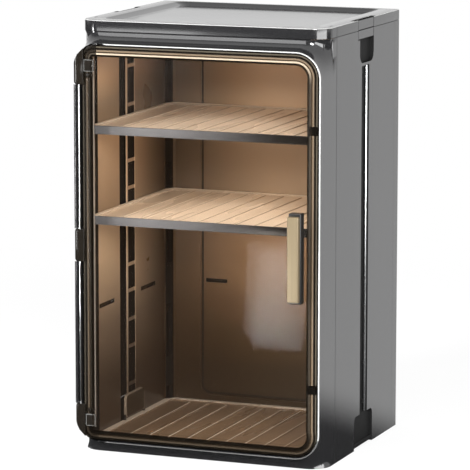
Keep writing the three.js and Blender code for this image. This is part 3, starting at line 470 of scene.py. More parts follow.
def makeDensePlastic():
    # The door's plastic where it is too thick to see through, in the knuckles. The plates beside the
    # end knuckles are duller, with a painted highlight along their edge.
    d = denseFinish
    f = newFinish("dense smoked plastic")
    flow = f.noise(*d["flow"])
    least, spread = d["roughness"]
    halfHeight = (bezelTop - bezelBottom) / 2 - leaf["inset"] - leaf["height"] / 2
    pastX = (f.along("X") - (leaf["from"] + leaf["to"]) / 2).size() - (leaf["to"] - leaf["from"]) / 2
    fromMiddle = (f.along("Z") - (bezelTop + bezelBottom) / 2).size()
    past = pastX.orElse((fromMiddle - halfHeight).size() - leaf["height"] / 2)
    colour = f.blend(flow, *d["body"])
    glossy = f.coat(colour, least + flow * spread, d["gloss"])
    # painted highlight along the plates' edge
    paintedEdgeHighlight = f.blend(between(past, *d["edgeHighlightLine"]), colour, d["paintedEdgeHighlight"])
    dull = f.coat(paintedEdgeHighlight, d["dullRoughness"], d["dull"])
    return f.surface(f.mixed(past < d["edgeHighlightLine"][1], glossy, dull))


trayFinish = {
    "high": ((0.90, 0.76, 0.60), (0.97, 0.86, 0.72)),
    # painted shade: the colour near the floor, towards which the trays darken lower down
    "low": (0.15, 0.097, 0.056),
    "rise": (0, 300),
    "tops": (14.6, 319.6, 442.0),
    # painted highlight on the crests and painted shade on the flanks
    "crest": (0.98, 0.90, 0.78),
    "crestHighlightDepth": (-0.5, 0.4),
    "flankShade": (0.16, 0.115, 0.075),
    "flankShadeDepth": (0.55, 1.4),
    "crestHighlightShare": 0.5,
    "flankShadeShare": 0.6,
    "flow": (16.0, 3.0, (1.0, 0.15, 1.0)),
    "grain": 700.0,
    "grainHeight": 0.06,
    "roughness": 0.28,
    "roughnessSpread": 0.1,
    "gloss": 1.5,
}


def makeTrayPlastic():
    # moulded tray with faint flow marks along its ribs, painted highlights on the crests, painted shade
    # on the flanks, and painted shade that darkens it towards the floor
    d = trayFinish
    f = newFinish("tray plastic")
    flow = f.noise(*d["flow"])
    z = f.along("Z")
    crest = flankShade = 0.0
    for top in d["tops"]:
        crest = crest + between(top - z, *d["crestHighlightDepth"])
        flankShade = flankShade + between(top - z, *d["flankShadeDepth"])
    # painted shade towards the floor and on the flanks, painted highlights on the crests
    colour = f.blend(f.ramp(z, d["rise"], kind="LINEAR"), d["low"], f.blend(flow, *d["high"]))
    colour = f.blend(flankShade * d["flankShadeShare"], colour, d["flankShade"])
    colour = f.blend(crest * d["crestHighlightShare"], colour, d["crest"])
    roughness = d["roughness"] + (flow - 0.5) * d["roughnessSpread"]
    raised = f.bump(f.noise(d["grain"]), d["grainHeight"])
    return f.surface(f.coat(colour, roughness, {"IOR": d["gloss"], "Normal": raised}))


trimFinish = {
    # painted reflection: grey trims on the left, near-black on the right
    "left": ((0.115, 0.123, 0.138), (0.14, 0.149, 0.165)),
    "right": (0.006, 0.006, 0.006),
    "fade": (-100, 120),
    "flow": (30.0, 3.0, (0.2, 1.0, 1.0)),
    "roughness": (0.28, 0.06),
    "more": {"Metallic": 0.2},
}


def makeTrimPaint():
    # grey satin paint on the shelf trims, darker to the right: a painted reflection lightens their left
    d = trimFinish
    f = newFinish("trim paint")
    flow = f.noise(*d["flow"])
    least, spread = d["roughness"]
    # painted reflection across the trims, fading out to the right
    colour = f.blend(f.ramp(f.along("X"), d["fade"]), f.blend(flow, *d["left"]), d["right"])
    return f.surface(f.coat(colour, least + flow * spread, d["more"]))


grained = {
    "brushed gold": {
        "colours": ((0.110, 0.083, 0.046), (0.168, 0.132, 0.079)), "roughness": (0.42, 0.14),
        "noise": (260.0, 4.0, (1.0, 1.0, 0.02)), "more": {"Metallic": 0.4}, "raised": 0.12},
    "drawn steel": {
        "colours": ((0.74, 0.75, 0.76), (0.90, 0.91, 0.92)), "roughness": (0.16, 0.1),
        "noise": (400.0, 3.0, (1.0, 1.0, 0.03)), "more": {"Metallic": 1.0}, "raised": 0.0},
}
blackGrain = {
    "colours": ((0.008, 0.008, 0.008), (0.014, 0.013, 0.012)), "noise": (800.0,), "more": {},
    "raised": 0.08, "spread": 0.08}
for name, least in {"black plastic": 0.26, "magnet coat": 0.16, "foot rubber": 0.71}.items():
    grained[name] = {**blackGrain, "roughness": (least, blackGrain["spread"])}


def makeGrained(name):
    # colour, gloss and surface follow one noise: brush lines, drawn marks or a moulding's fine grain
    d = grained[name]
    f = newFinish(name)
    grain = f.noise(*d["noise"])
    least, spread = d["roughness"]
    more = dict(d["more"])
    if d["raised"]:
        more["Normal"] = f.bump(grain, d["raised"])
    return f.surface(f.coat(f.blend(grain, *d["colours"]), least + grain * spread, more))


lockFinish = {
    "body": ((0.026, 0.019, 0.013), (0.034, 0.025, 0.018)),
    # painted highlight colour along the flap's rounded edge
    "edge": (0.20, 0.165, 0.13),
    "highlightWidth": 1.3,
    "radius": 6.0,
    "grain": 300.0,
    "roughness": (0.3, 0.1),
}


def makeLockPlastic():
    # dark flap whose rounded edge catches the light, as a painted highlight
    d = lockFinish
    f = newFinish("lock plastic")
    grain = f.noise(d["grain"])
    least, spread = d["roughness"]
    inset = edgeInset(f, (lockLow.y, lockHigh.y), (lockLow.z, lockHigh.z), d["radius"], f.along("Y"))
    colour = f.blend(inset < d["highlightWidth"], f.blend(grain, *d["body"]), d["edge"])
    return f.surface(f.coat(colour, least + grain * spread))


# Front frame

front = {
    "reach": 21.0,
    "sideReturn": 42.0,
    "edge": 0.7,
    "lip": 1.8,
    "rabbet": 18.0,
    "jambDepth": 13.5,
    "jambWidth": 18.0,
    "sill": 21.0,
    "openingRadius": 14.0,
    "openingEdge": 1.2,
    "wall": 7.0,
    "lidRadius": 27.0,
    "planShare": 0.6,
    "cornerGap": 0.4,
    "grooves": (3.4, 6.6, 9.8),
    "grooveWidth": 1.6,
    "grooveDepth": 2.2,
    "grooveInset": 56.0,
    "rungs": (0, 0.16, 0.34, 0.52, 0.7, 0.86, 1),
    "rung": 3.0,
    "header": 27.0,
    "arcSteps": 22,
    "cornerLines": 25,
    "flatLines": 8,
    "sideLines": 12,
    "sideClear": 10.0,
}
shellTop, shellBottom = frameHigh.z, frameLow.z
bezelFront = -front["reach"]
rabbetFloor = bezelFront + front["rabbet"]
jambBack = rabbetFloor + front["jambDepth"]
openingHalf = halfWidth - front["jambWidth"]
openingTop = shellTop - front["header"]
innerHalf = halfWidth - front["wall"]

hinge = {
    "radius": 6.0,
    "gap": 0.25,
    "clear": 0.3,
    "cornerFrom": 162.0,
    "edge": 3.4,
    "arm": 5.4,
    "web": 7.0,
    "webEdge": 0.4,
    "webSink": 0.3,
    "bowl": 2.0,
    "bulge": 1.09,
    "slim": 0.1,
    "armEdge": 0.5,
    "outlineGap": 0.4,
    "lower": 51.3,
    "middle": 44.5,
    "upper": 55.5,
}
leaf = {
    "from": -158.8,
    "to": -144.8,
    "front": 20.9,
    "back": 17.0,
    "height": 16.0,
    "inset": 21.5,
    "edge": 0.5,
    "bosses": ((-2.4, 3.2), (3.4, 2.4)),
    "bossDrop": 5.2,
    "bossSink": 0.8,
    "bossEdge": 0.7,
}
hingeX, hingeY = (pinLow.x + pinHigh.x) / 2, (pinLow.y + pinHigh.y) / 2
pinClear = hingeY + hinge["radius"] + hinge["clear"]

door = {
    "edgeGap": 3.5,
    "step": 3.0,
    "rim": 14.0,
    "skin": 2.5,
    "border": 11.0,
    "slope": 2.0,
    "edge": 0.7,
    "hingeRadius": 10.0,
    "corner": 31.5,
    "leftCorner": 16.0,
}
doorEdge = halfWidth - door["edgeGap"]
doorLeft = hingeX + hinge["radius"] + 2 * hinge["clear"]
flangeFront = bezelFront + door["step"]
doorBack = flangeFront + door["rim"]
doorBottom, doorTop = bezelBottom + door["edgeGap"], bezelTop - door["edgeGap"]

# the same moulding with the painted inside light, and a plain copy without it
shellPlastic = makeShellPlastic("shell plastic", True)
plainPlastic = makeShellPlastic("plain shell plastic", False)
smokedDoor = makeSmokedDoor()
densePlastic = makeDensePlastic()
trayPlastic = makeTrayPlastic()
trimPaint = makeTrimPaint()
lockPlastic = makeLockPlastic()
brushedGold, steel = makeGrained("brushed gold"), makeGrained("drawn steel")
blackPlastic, magnetBlack = makeGrained("black plastic"), makeGrained("magnet coat")
footRubber = makeGrained("foot rubber")
print("materials made")


# Surfaces

def roundedRings(spans, radii, insets, steps=8, uStops=(), vStops=()):
    # Rounded rectangles, one for each inset: every corner is a quarter circle round a centre one
    # radius in from both sides, its radius less by the inset; the straight runs pass the stops.
    # Corners go round from the largest values; returns insets x points x 2.
    (u0, u1), (v0, v1) = spans
    insets = np.atleast_1d(np.asarray(insets, float))[:, None]
    signs = [(1, 1), (-1, 1), (-1, -1), (1, -1)]
    arcs = []
    for quarter, (su, sv) in enumerate(signs):
        turn = (quarter + np.linspace(0, 1, steps + 1)) * math.pi / 2
        radius = radii[quarter]
        centre = ((u1 if su > 0 else u0) - su * radius, (v1 if sv > 0 else v0) - sv * radius)
        bend = np.maximum(radius - insets, 0)
        slide = np.maximum(insets - radius, 0)
        u = centre[0] - su * slide + bend * np.cos(turn)
        v = centre[1] - sv * slide + bend * np.sin(turn)
        arcs.append(np.stack([u, v], -1))
    count = len(insets)

    def run(stops, level, fixedAxis):
        moving = np.broadcast_to(np.asarray(stops, float), (count, len(stops)))
        still = np.broadcast_to(level, moving.shape)
        pair = [still, moving] if fixedAxis == 0 else [moving, still]
        return np.stack(pair, -1)

    uDown = sorted(uStops, reverse=True)
    vDown = sorted(vStops, reverse=True)
    parts = [
        arcs[0], run(uDown, v1 - insets, 1), arcs[1], run(vDown, u0 + insets, 0),
        arcs[2], run(uDown[::-1], v0 + insets, 1), arcs[3], run(vDown[::-1], u1 - insets, 0),
    ]
    return np.concatenate(parts, 1)


def standOn(axis, outline, levels):
    # puts flat rings (stations x points x 2) at their levels along an axis
    levels = np.broadcast_to(np.asarray(levels, float)[:, None], outline.shape[:2])
    u, v = outline[..., 0], outline[..., 1]
    order = {"x": (levels, u, v), "y": (u, levels, v), "z": (u, v, levels)}[axis]
    return np.stack(order, -1)


def skin(rings, closed=False):
    # closed shell through rings (stations x points x 3): quads between neighbours, and either flat
    # caps on the two end rings or quads that lead from the last ring back to the first
    stations, points = rings.shape[:2]
    s = np.arange(stations if closed else stations - 1)[:, None]
    p = np.arange(points)[None, :]
    nextP = (p + 1) % points
    nextS = (s + 1) % stations
    corners = [s * points + p, s * points + nextP, nextS * points + nextP, nextS * points + p]
    faces = np.stack(corners, -1).reshape(-1, 4).tolist()
    if not closed:
        faces.append(list(range(points))[::-1])
        faces.append(list(range((stations - 1) * points, stations * points)))
    return rings.reshape(-1, 3), faces


def bothSides(shells):
    # each shell and its mirror image across the middle plane
    return [(points * (side, 1, 1), faces) for points, faces in shells for side in (1, -1)]


def placed(name, data):
    # an object in the scene, at the origin and unturned
    made = bpy.data.objects.new(name, data)
    bpy.context.scene.collection.objects.link(made)
    return made


def addPiece(name, shells, finish, body, replaced, sharpness=32):
    # joins closed shells into one mesh in the frame's metres, turns every shell's faces outwards and
    # shades it smooth up to the sharpness angle
    start = 0
    points = []
    faces = []
    for corners, polygons in shells:
        points.append(corners)
        faces += [[i + start for i in polygon] for polygon in polygons]
        start += len(corners)
    metres = np.concatenate(points) * mm + (0, lidFront, 0)
    mesh = bpy.data.meshes.new(name)
    mesh.from_pydata(metres.tolist(), [], faces)
    work = bmesh.new()
    work.from_mesh(mesh)
    bmesh.ops.remove_doubles(work, verts=work.verts, dist=weldReach)
    bmesh.ops.recalc_face_normals(work, faces=work.faces)
    work.to_mesh(mesh)
    work.free()
    mesh.polygons.foreach_set("use_smooth", np.ones(len(mesh.polygons), bool))
    mesh.set_sharp_from_angle(angle=math.radians(sharpness))
    mesh.materials.append(finish)
    piece = placed(name, mesh)
    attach(piece, body)
    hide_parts(*replaced)
    return piece


def rounding(low, high, edge, steps=4):
    # how far in, and at which levels, a rod or block has its rings when both rims are quarter circles
    turn = np.linspace(0, math.pi / 2, steps + 1)
    inwards, drop = 1 - np.sin(turn), 1 - np.cos(turn)
    levels = np.concatenate([low + edge * drop, (high - edge * drop)[::-1]])
    return edge * np.concatenate([inwards, inwards[::-1]]), levels


def softBlock(x, y, z, edge, axis="y", steps=4):
    # block between pairs of limits, whose edges all round are quarter circles of the edge radius
    *spans, (low, high) = {"x": (y, z, x), "y": (x, z, y), "z": (x, y, z)}[axis]
    insets, levels = rounding(low, high, edge, steps)
    return skin(standOn(axis, roundedRings(spans, [edge] * 4, insets, steps), levels))


def turned(axis, centre, radius, low, high, edge, sides=40):
    # rod along an axis, circle by circle, whose two rims are rounded by the edge radius
    insets, levels = rounding(low, high, edge)
    around = np.arange(sides) * 2 * math.pi / sides
    circle = np.stack([np.cos(around), np.sin(around)], -1)
    outline = np.asarray(centre, float) + (radius - insets)[:, None, None] * circle
    return skin(standOn(axis, outline, levels))


def smoothStep(value):
    # eases from 0 to 1
    share = np.clip(value, 0, 1)
    return share * share * (3 - 2 * share)


def grooveLimits():
    # low and high ends of each groove between two rungs, from the floor up
    low = bezelBottom + front["grooveInset"]
    high = bezelTop - front["grooveInset"]
    marks = low + np.array(front["rungs"]) * (high - low)
    return np.stack([marks[:-1] + front["rung"] / 2, marks[1:] - front["rung"] / 2], -1)


def frameColumns():
    # Lines that run over the frame from its rear edge into the opening. A line has its share of the
    # corner arc, how far out along the flat run it starts, how far down the upright run it is, the
    # side it is on, and whether it is on the hinge side, where the bezel is cut away for the knuckles.
    d = front
    upper, lower = bezelTop - bezelRadius, bezelBottom + bezelRadius
    ends = grooveLimits().ravel()
    evenly = np.linspace(lower + d["sideClear"], upper - d["sideClear"], d["sideLines"])
    heights = np.concatenate([ends - 0.01, ends + 0.01, evenly])
    heights = np.sort(heights[(heights > lower + 1) & (heights < upper - 1)])[::-1]
    down = (upper - heights) / (upper - lower)
    corner = np.linspace(0, 1, d["cornerLines"])
    flat = np.arange(d["flatLines"]) / d["flatLines"]
    share = np.concatenate([flat * 0, corner, down * 0 + 1, corner[::-1], flat * 0])
    out = np.concatenate([flat, corner * 0 + 1, down * 0 + 1, corner * 0 + 1, flat[::-1]])
    fall = np.concatenate([flat * 0, corner * 0, down, corner * 0 + 1, flat * 0 + 1])
    curved = np.concatenate([flat * 0, corner * 0 + 1, down * 0 + 1, corner * 0 + 1, flat * 0])
    # the flat run's last line is there twice, so that the lip ends squarely at the hinge side
    pick = np.concatenate([np.arange(len(share)), np.arange(len(share))[::-1]])
    side = np.concatenate([np.ones(len(share)), -np.ones(len(share))])
    extra = np.flatnonzero((curved[pick] == 1) & (share[pick] == 0) & (side < 0))
    pick = np.insert(pick, extra, pick[extra])
    side = np.insert(side, extra, side[extra])
    onHinge = (side < 0) & (curved[pick] == 1)
    doubles = extra + np.arange(len(extra))
    onHinge[[doubles[0] + 1, doubles[1]]] = False
    return share[pick], out[pick], fall[pick], side, onHinge


def frontFrameRings():
    # Each line follows a hollow quarter arc from the rear outline (width, height and the lid's plan
    # curve) to the bezel's rounded rectangle, turns round the lip, down into the door's rabbet,
    # across its floor, round the opening's edge and back along the jamb and the side's inner face.
    d = front
    share, out, fall, side, onHinge = frameColumns()
    radius = bezelRadius
    angle = (1 - share) * math.pi / 2

    def bezel(inset):
        bend = radius - inset
        x = (halfWidth - radius) * out + bend * np.cos(angle)
        upper = bezelTop - radius + bend * np.sin(angle)
        lower = bezelBottom + radius - bend * np.sin(angle)
        return x, upper + (lower - upper) * fall

    turn = np.minimum(share / d["planShare"], 1) * math.pi / 2
    settle = np.maximum(share - d["planShare"], 0) / (1 - d["planShare"])
    endX = (halfWidth - d["lidRadius"]) * out + d["lidRadius"] * np.sin(turn)
    endY = d["lidRadius"] * (1 - np.cos(turn))
    arcTop, arcLow = bezelTop - radius, bezelBottom + radius
    endUpper = shellTop + (arcTop - shellTop) * settle
    endLower = shellBottom + (arcLow - shellBottom) * settle
    endZ = endUpper + (endLower - endUpper) * fall
    startX, startZ = bezel(0)
    reach = np.hypot(endX - startX, endZ - startZ)

    # on the hinge side the arc stops where it meets the door's pocket, and further back at the
    # corners, where the end knuckles turn
    def depthTurn(y):
        return np.arcsin(np.clip((y - bezelFront) / (endY - bezelFront), 0, 1))

    atOutline = np.arccos(1 - np.clip(d["cornerGap"] / np.maximum(reach, 1e-6), 0, 1))
    atPin = depthTurn(pinClear) * (startX > hinge["cornerFrom"])
    stop = np.where(onHinge, np.minimum(np.maximum(atOutline, atPin), depthTurn(rabbetFloor)), 0)

    def arc(turnTo):
        along, outwards = np.sin(turnTo), 1 - np.cos(turnTo)
        return np.stack([
            startX + (endX - startX) * outwards,
            bezelFront + (endY - bezelFront) * along,
            startZ + (endZ - startZ) * outwards], -1)

    def bezelAt(inset, y):
        # a ring of the bezel, held to the pocket's wall on the hinge side
        x, z = bezel(inset)
        cut = arc(stop)
        plain = np.stack([x, np.full_like(x, y), z], -1)
        held = np.stack([cut[:, 0], np.maximum(cut[:, 1], np.minimum(y, rabbetFloor)), cut[:, 2]], -1)
        return np.where(onHinge[:, None], held, plain)

    def openingAt(grow, y):
        bend = d["openingRadius"] + grow
        centreX = openingHalf - d["openingRadius"]
        x = centreX * out + bend * np.cos(angle)
        upper = openingTop - d["openingRadius"] + bend * np.sin(angle)
        lower = d["sill"] + d["openingRadius"] - bend * np.sin(angle)
        return np.stack([x, np.full_like(x, y), upper + (lower - upper) * fall], -1)

    wide = endX >= innerHalf
    rear = np.stack([endX, np.where(wide, d["sideReturn"], jambBack), endZ], -1)
    rings = [rear]
    steps = np.arange(d["arcSteps"]) / d["arcSteps"]
    rings += [arc(stop + (math.pi / 2 - stop) * (1 - step)) for step in steps]
    bend = np.linspace(0, math.pi / 2, 4)
    e, half = d["edge"], d["edge"] / 2
    rings += [bezelAt(e * (1 - math.cos(b)), bezelFront + e * (1 - math.sin(b))) for b in bend]
    rings += [bezelAt(d["lip"] - half + half * math.sin(b), bezelFront + half * (1 - math.cos(b)))
              for b in bend]
    rings += [bezelAt(d["lip"], rabbetFloor - 0.6), bezelAt(d["lip"], rabbetFloor)]
    outerFloor = rings[-1]
    edge = d["openingEdge"]
    innerFloor = openingAt(edge, rabbetFloor)

    # the hinge side's floor dips into slim upright grooves between the rungs
    grooveLow, grooveHigh = grooveLimits().T
    height = innerFloor[:, 2:]
    grooved = ((grooveLow < height) & (height < grooveHigh)).any(1) & onHinge & (share == 1)
    for offset in sorted(d["grooves"], reverse=True):
        for lean, depth in ((0.5, 0), (0.49, 1), (-0.49, 1), (-0.5, 0)):
            x = openingHalf + offset + lean * d["grooveWidth"]
            part = (x - innerFloor[:, 0]) / np.maximum(outerFloor[:, 0] - innerFloor[:, 0], 1e-6)
            part = np.where(share == 1, part, (offset + lean * d["grooveWidth"]) / d["jambWidth"])
            ring = innerFloor + (outerFloor - innerFloor) * part[:, None]
            ring[:, 1] = rabbetFloor + d["grooveDepth"] * depth * grooved
            rings.append(ring)
    rings += [openingAt(edge * (1 - math.sin(b)), rabbetFloor + edge * (1 - math.cos(b))) for b in bend]
    rings.append(openingAt(0, jambBack))
    narrow = np.minimum(endX, innerHalf)
    rings.append(np.stack([narrow, np.full_like(narrow, jambBack), endZ], -1))
    rings.append(np.stack([narrow, rear[:, 1], endZ], -1))
    grid = np.stack(rings)
    grid[..., 0] *= side
    return grid


def hingeZones():
    # heights of the door's three knuckles and of the frame's two barrels between them
    low, high = bezelBottom + hinge["lower"], bezelTop - hinge["upper"]
    middle, half = (low + high) / 2, hinge["middle"] / 2
    knuckles = [(bezelBottom, low), (middle - half, middle + half), (high, bezelTop)]
    return knuckles, [(low, middle - half), (middle + half, high)]


def frameBarrels():
    # between the knuckles the pin lies open in a channel: a bowl round its outer side, from the rear
    # to just left of the pin's front, and a web behind it
    turn = np.radians(np.linspace(100, 262, 24))
    bulge = np.minimum(1 / np.maximum(np.abs(np.cos(turn)), np.abs(np.sin(turn))), hinge["bulge"])
    outer = hinge["radius"] * bulge[:, None] * np.stack([np.cos(turn), np.sin(turn)], -1)
    inner = outer * (1 - hinge["bowl"] / hinge["radius"])
    plan = (hingeX, hingeY) + np.concatenate([outer, inner[::-1]])
    shells = []
    for low, high in hingeZones()[1]:
        low, high = low + hinge["gap"], high - hinge["gap"]
        shells.append(skin(standOn("z", np.stack([plan, plan]), [low, high])))
        shells.append(softBlock((-halfWidth + 0.2, -halfWidth + hinge["web"]),
                                (hingeY + hinge["radius"] / 2 + 1, rabbetFloor + hinge["webSink"]),
                                (low, high), hinge["webEdge"]))
    return shells


addPiece("front_moulding", [skin(frontFrameRings(), closed=True)] + frameBarrels(),
         shellPlastic, "cabinet", ["front_frame"])
print("front frame made")


# Door

def doorShell():
    # One closed skin. Outside, from the rim's rear edge: up the rim, round its edge, over the border,
    # up the slope and onto the raised panel. Inside, the same path one skin further in. A station is
    # how far in from the outline it lies, and its level.
    d = door
    spans = (doorLeft, doorEdge), (doorBottom, doorTop)
    closing = bezelRadius - d["edgeGap"]
    outer = [closing, d["hingeRadius"], d["hingeRadius"], closing]
    raised = [d["corner"] - 0.5, d["leftCorner"], d["leftCorner"], d["corner"] - 0.5]
    bend = np.linspace(0, math.pi / 2, 5)
    e = d["edge"]

    def path(radii, stations):
        insets, levels = zip(*stations)
        return standOn("y", roundedRings(spans, radii, insets, 14), levels)

    rim = [(0.4, doorBack), (0, doorBack - 0.4)]
    rim += [(e * (1 - math.cos(b)), flangeFront + e * (1 - math.sin(b))) for b in bend]
    b0, s = d["border"], d["slope"]
    rise = [(b0 - 0.5, flangeFront), (b0, flangeFront - 0.3)]
    rise += [(b0 + s - 0.9 + 1.2 * math.sin(b), bezelFront + 0.9 * (1 - math.sin(b))) for b in bend]
    rise.append((b0 + s + 3, bezelFront))
    t = d["skin"]
    sunk = [(b0 + s + t + 2, bezelFront + t), (b0 + s + t, bezelFront + t + 0.2),
            (b0 + t, flangeFront + t)]
    bed = [(t + 0.8, flangeFront + t), (t, flangeFront + t + 0.8), (t, doorBack - 0.3),
           (t - 0.3, doorBack)]
    rings = [path(outer, rim), path(raised, rise), path(raised, sunk), path(outer, bed)]
    # the two panels are closed by flat caps, and the two faces meet at the rim
    return skin(np.concatenate(rings[2:] + rings[:2]))


def bezelLimit(x):
    # upper edge of the bezel's outline over a point left of the corner's centre
    past = np.maximum(np.abs(x) - (halfWidth - bezelRadius), 0)
    return bezelTop - bezelRadius + np.sqrt(np.maximum(bezelRadius ** 2 - past ** 2, 0))


def trimmed(shell, low, high):
    # squeezes a shell's upper or lower half so that it ends on the bezel's rounded outline
    points, faces = shell
    points = points.copy()
    middle, gap = (low + high) / 2, hinge["outlineGap"]
    limit = bezelLimit(points[:, 0])
    mirrored = bezelBottom + bezelTop - limit
    if high >= bezelTop - 1:
        share = np.clip((points[:, 2] - middle) / (high - middle), 0, 1)
        points[:, 2] = np.minimum(points[:, 2], middle + share * (limit - gap - middle))
    if low <= bezelBottom + 1:
        share = np.clip((middle - points[:, 2]) / (middle - low), 0, 1)
        points[:, 2] = np.maximum(points[:, 2], middle - share * (middle - mirrored - gap))
    return points, faces


def knuckle(low, high):
    # a barrel and its arm to the door, both cut by the bezel's outline
    d = hinge
    span = (low + d["gap"], high - d["gap"])
    barrel = turned("z", (hingeX, hingeY), d["radius"] - d["slim"], *span, d["edge"], 64)
    arm = softBlock((hingeX, doorLeft + door["skin"]), (bezelFront + d["slim"], bezelFront + d["arm"]),
                    span, d["armEdge"])
    return [trimmed(shell, low, high) for shell in (barrel, arm)]


def hingeLeaves():
    # flat plates beside the end knuckles, each with two round bosses towards the middle
    d = leaf
    shells = []
    for edge, inwards in ((bezelTop, -1), (bezelBottom, 1)):
        outer = edge + inwards * d["inset"]
        inner = outer + inwards * d["height"]
        shells.append(softBlock((d["from"], d["to"]), (-d["front"], -d["back"]), sorted((outer, inner)),
                                d["edge"]))
        for offset, radius in d["bosses"]:
            centre = (d["from"] + d["to"]) / 2 + offset, inner + inwards * d["bossDrop"]
            shells.append(turned("y", centre, radius, d["bossSink"] - d["front"], -d["back"],
                                 d["bossEdge"]))
    return shells


addPiece("smoked_door", [doorShell()], smokedDoor, "door", ["door_panel"])
knuckles = [shell for low, high in hingeZones()[0] for shell in knuckle(low, high)]
addPiece("door_knuckles", knuckles + hingeLeaves(), densePlastic, "door", ["door_panel"])
print("door made")


# Handle

handle = {"capEdge": 1.6, "baseEdge": 1.2}


def filledBox(node, edge, axis="y"):
    # rounded block that fills the box of a node
    return softBlock(*zip(*edgesOf(node)), edge, axis)


addPiece("handle_cap", [filledBox("door_handle_trim", handle["capEdge"])], brushedGold, "door",
         ["door_handle_trim"])
addPiece("handle_grip", [filledBox("door_handle_base", handle["baseEdge"])], blackPlastic, "door",
         ["door_handle_base"])
print("handle made")


# Lid

lid = {
    "edge": 1.4,
    "rim": 24.0,
    "rearRim": 9.0,
    "recess": 5.0,
    "slope": 4.0,
    "sideLean": 2.6,
    "recessRadius": 14.0,
    "plate": 2.8,
    "skirt": 14.4,
    "skirtWall": 3.5,
    "notch": 8.0,
    "rearRadius": 4.0,
    "latchGap": 0.4,
    "barFoot": 7.6,
    "barEdge": 0.3,
    "sideBars": ((164.0, 166.6), (60, 265)),
    "crossBars": (((-150, 150), (10.9, 13.5)), ((-150, 150), (289.0, 291.6))),
}
latchLow, latchHigh = edgesOf("right_lid_latch")


def lidShell():
    # From the middle of the underside: along the ceiling, down inside the skirt, round its foot, up
    # the outer face, round the top edge, over the rim and down the slope to the sunk top's middle.
    # Both side runs step inwards over the latches.
    d = lid
    spans = ((-halfWidth, halfWidth), (0, lidHigh.y))
    plan = [d["rearRadius"]] * 2 + [front["lidRadius"]] * 2
    stepAt = (latchLow.y - d["latchGap"], latchHigh.y + d["latchGap"])
    stops = [at + side for at in stepAt for side in (-0.01, 0.01)]
    top, bottom = lidHigh.z, lidHigh.z - d["skirt"]
    ceiling = top - d["recess"] - d["plate"]
    wall, e = d["skirtWall"], d["edge"]
    bend = np.linspace(0, math.pi / 2, 6)

    def path(stations, radii, box=spans):
        insets, levels = zip(*stations)
        return standOn("z", roundedRings(box, radii, insets, 16, vStops=stops), levels)

    inside = path([(wall + 6, ceiling), (wall, ceiling), (wall, bottom), (0.4, bottom),
                   (0, bottom + 0.4)], plan)
    edge = path([(e * (1 - math.cos(b)), top - e + e * math.sin(b)) for b in bend], plan)
    sunkBox = ((-halfWidth + d["rim"], halfWidth - d["rim"]), (d["rim"], lidHigh.y - d["rearRim"]))
    lean = d["slope"] / d["recess"]
    sunkTop = top - d["recess"]
    slope = [(-0.5, top), (0, top - 0.12), (0.35, top - 0.5), ((d["recess"] - 0.6) * lean, sunkTop + 0.6),
             (d["slope"] + 0.4, sunkTop + 0.1), (d["slope"] + 1.5, sunkTop)]
    sunk = path(slope, [d["recessRadius"]] * 4, sunkBox)
    # the slopes at the two sides are gentler
    insets = np.array([max(inset, 0) for inset, _ in slope])
    sunkHalf = halfWidth - d["rim"]
    sunk[..., 0] *= ((sunkHalf - d["sideLean"] * insets) / (sunkHalf - insets))[:, None]
    notched = np.concatenate([inside, edge])
    inStep = (notched[..., 1] > stepAt[0]) & (notched[..., 1] < stepAt[1])
    # the skirt's inner face stays one wall behind the outer one
    depth = d["notch"] + np.repeat([2.0, 0.0], [len(inside) - 2, len(edge) + 2])
    limit = np.where(inStep, halfWidth - depth[:, None], halfWidth)
    notched[..., 0] = np.clip(notched[..., 0], -limit, limit)
    return skin(np.concatenate([notched, sunk]))


def lidBars():
    # four bars under the lid that locate it between the walls
    def bar(x, y):
        return softBlock(x, y, (lidLow.z, lidHigh.z - lid["barFoot"]), lid["barEdge"], "z")

    return bothSides([bar(*lid["sideBars"])]) + [bar(*limits) for limits in lid["crossBars"]]


addPiece("lid_cover", [lidShell()] + lidBars(), shellPlastic, "cabinet", ["top_cover"])
print("lid made")


# Trays

rib = {"width": 5.0, "height": 1.6, "ramp": 6.0, "inset": 6.0}
tray = {"border": 7.0, "cell": 56.0, "web": 2.0, "plate": 2.4, "chamferFrom": 152.0}
backPost = {"width": 12.0, "depth": 14.0}
backFace = 292.0


def cellLimits(low, high):
    # ends of the pockets between the webs of a ribbed underside
    count = math.ceil((high - low) / tray["cell"])
    step = (high - low + tray["web"]) / count
    starts = low + np.arange(count) * step
    return np.stack([starts, starts + step - tray["web"]], -1)


def inAny(values, limits):
    # whether each value lies between any of the pairs of limits
    return ((values[:, None] > limits[:, 0]) & (values[:, None] < limits[:, 1])).any(1)


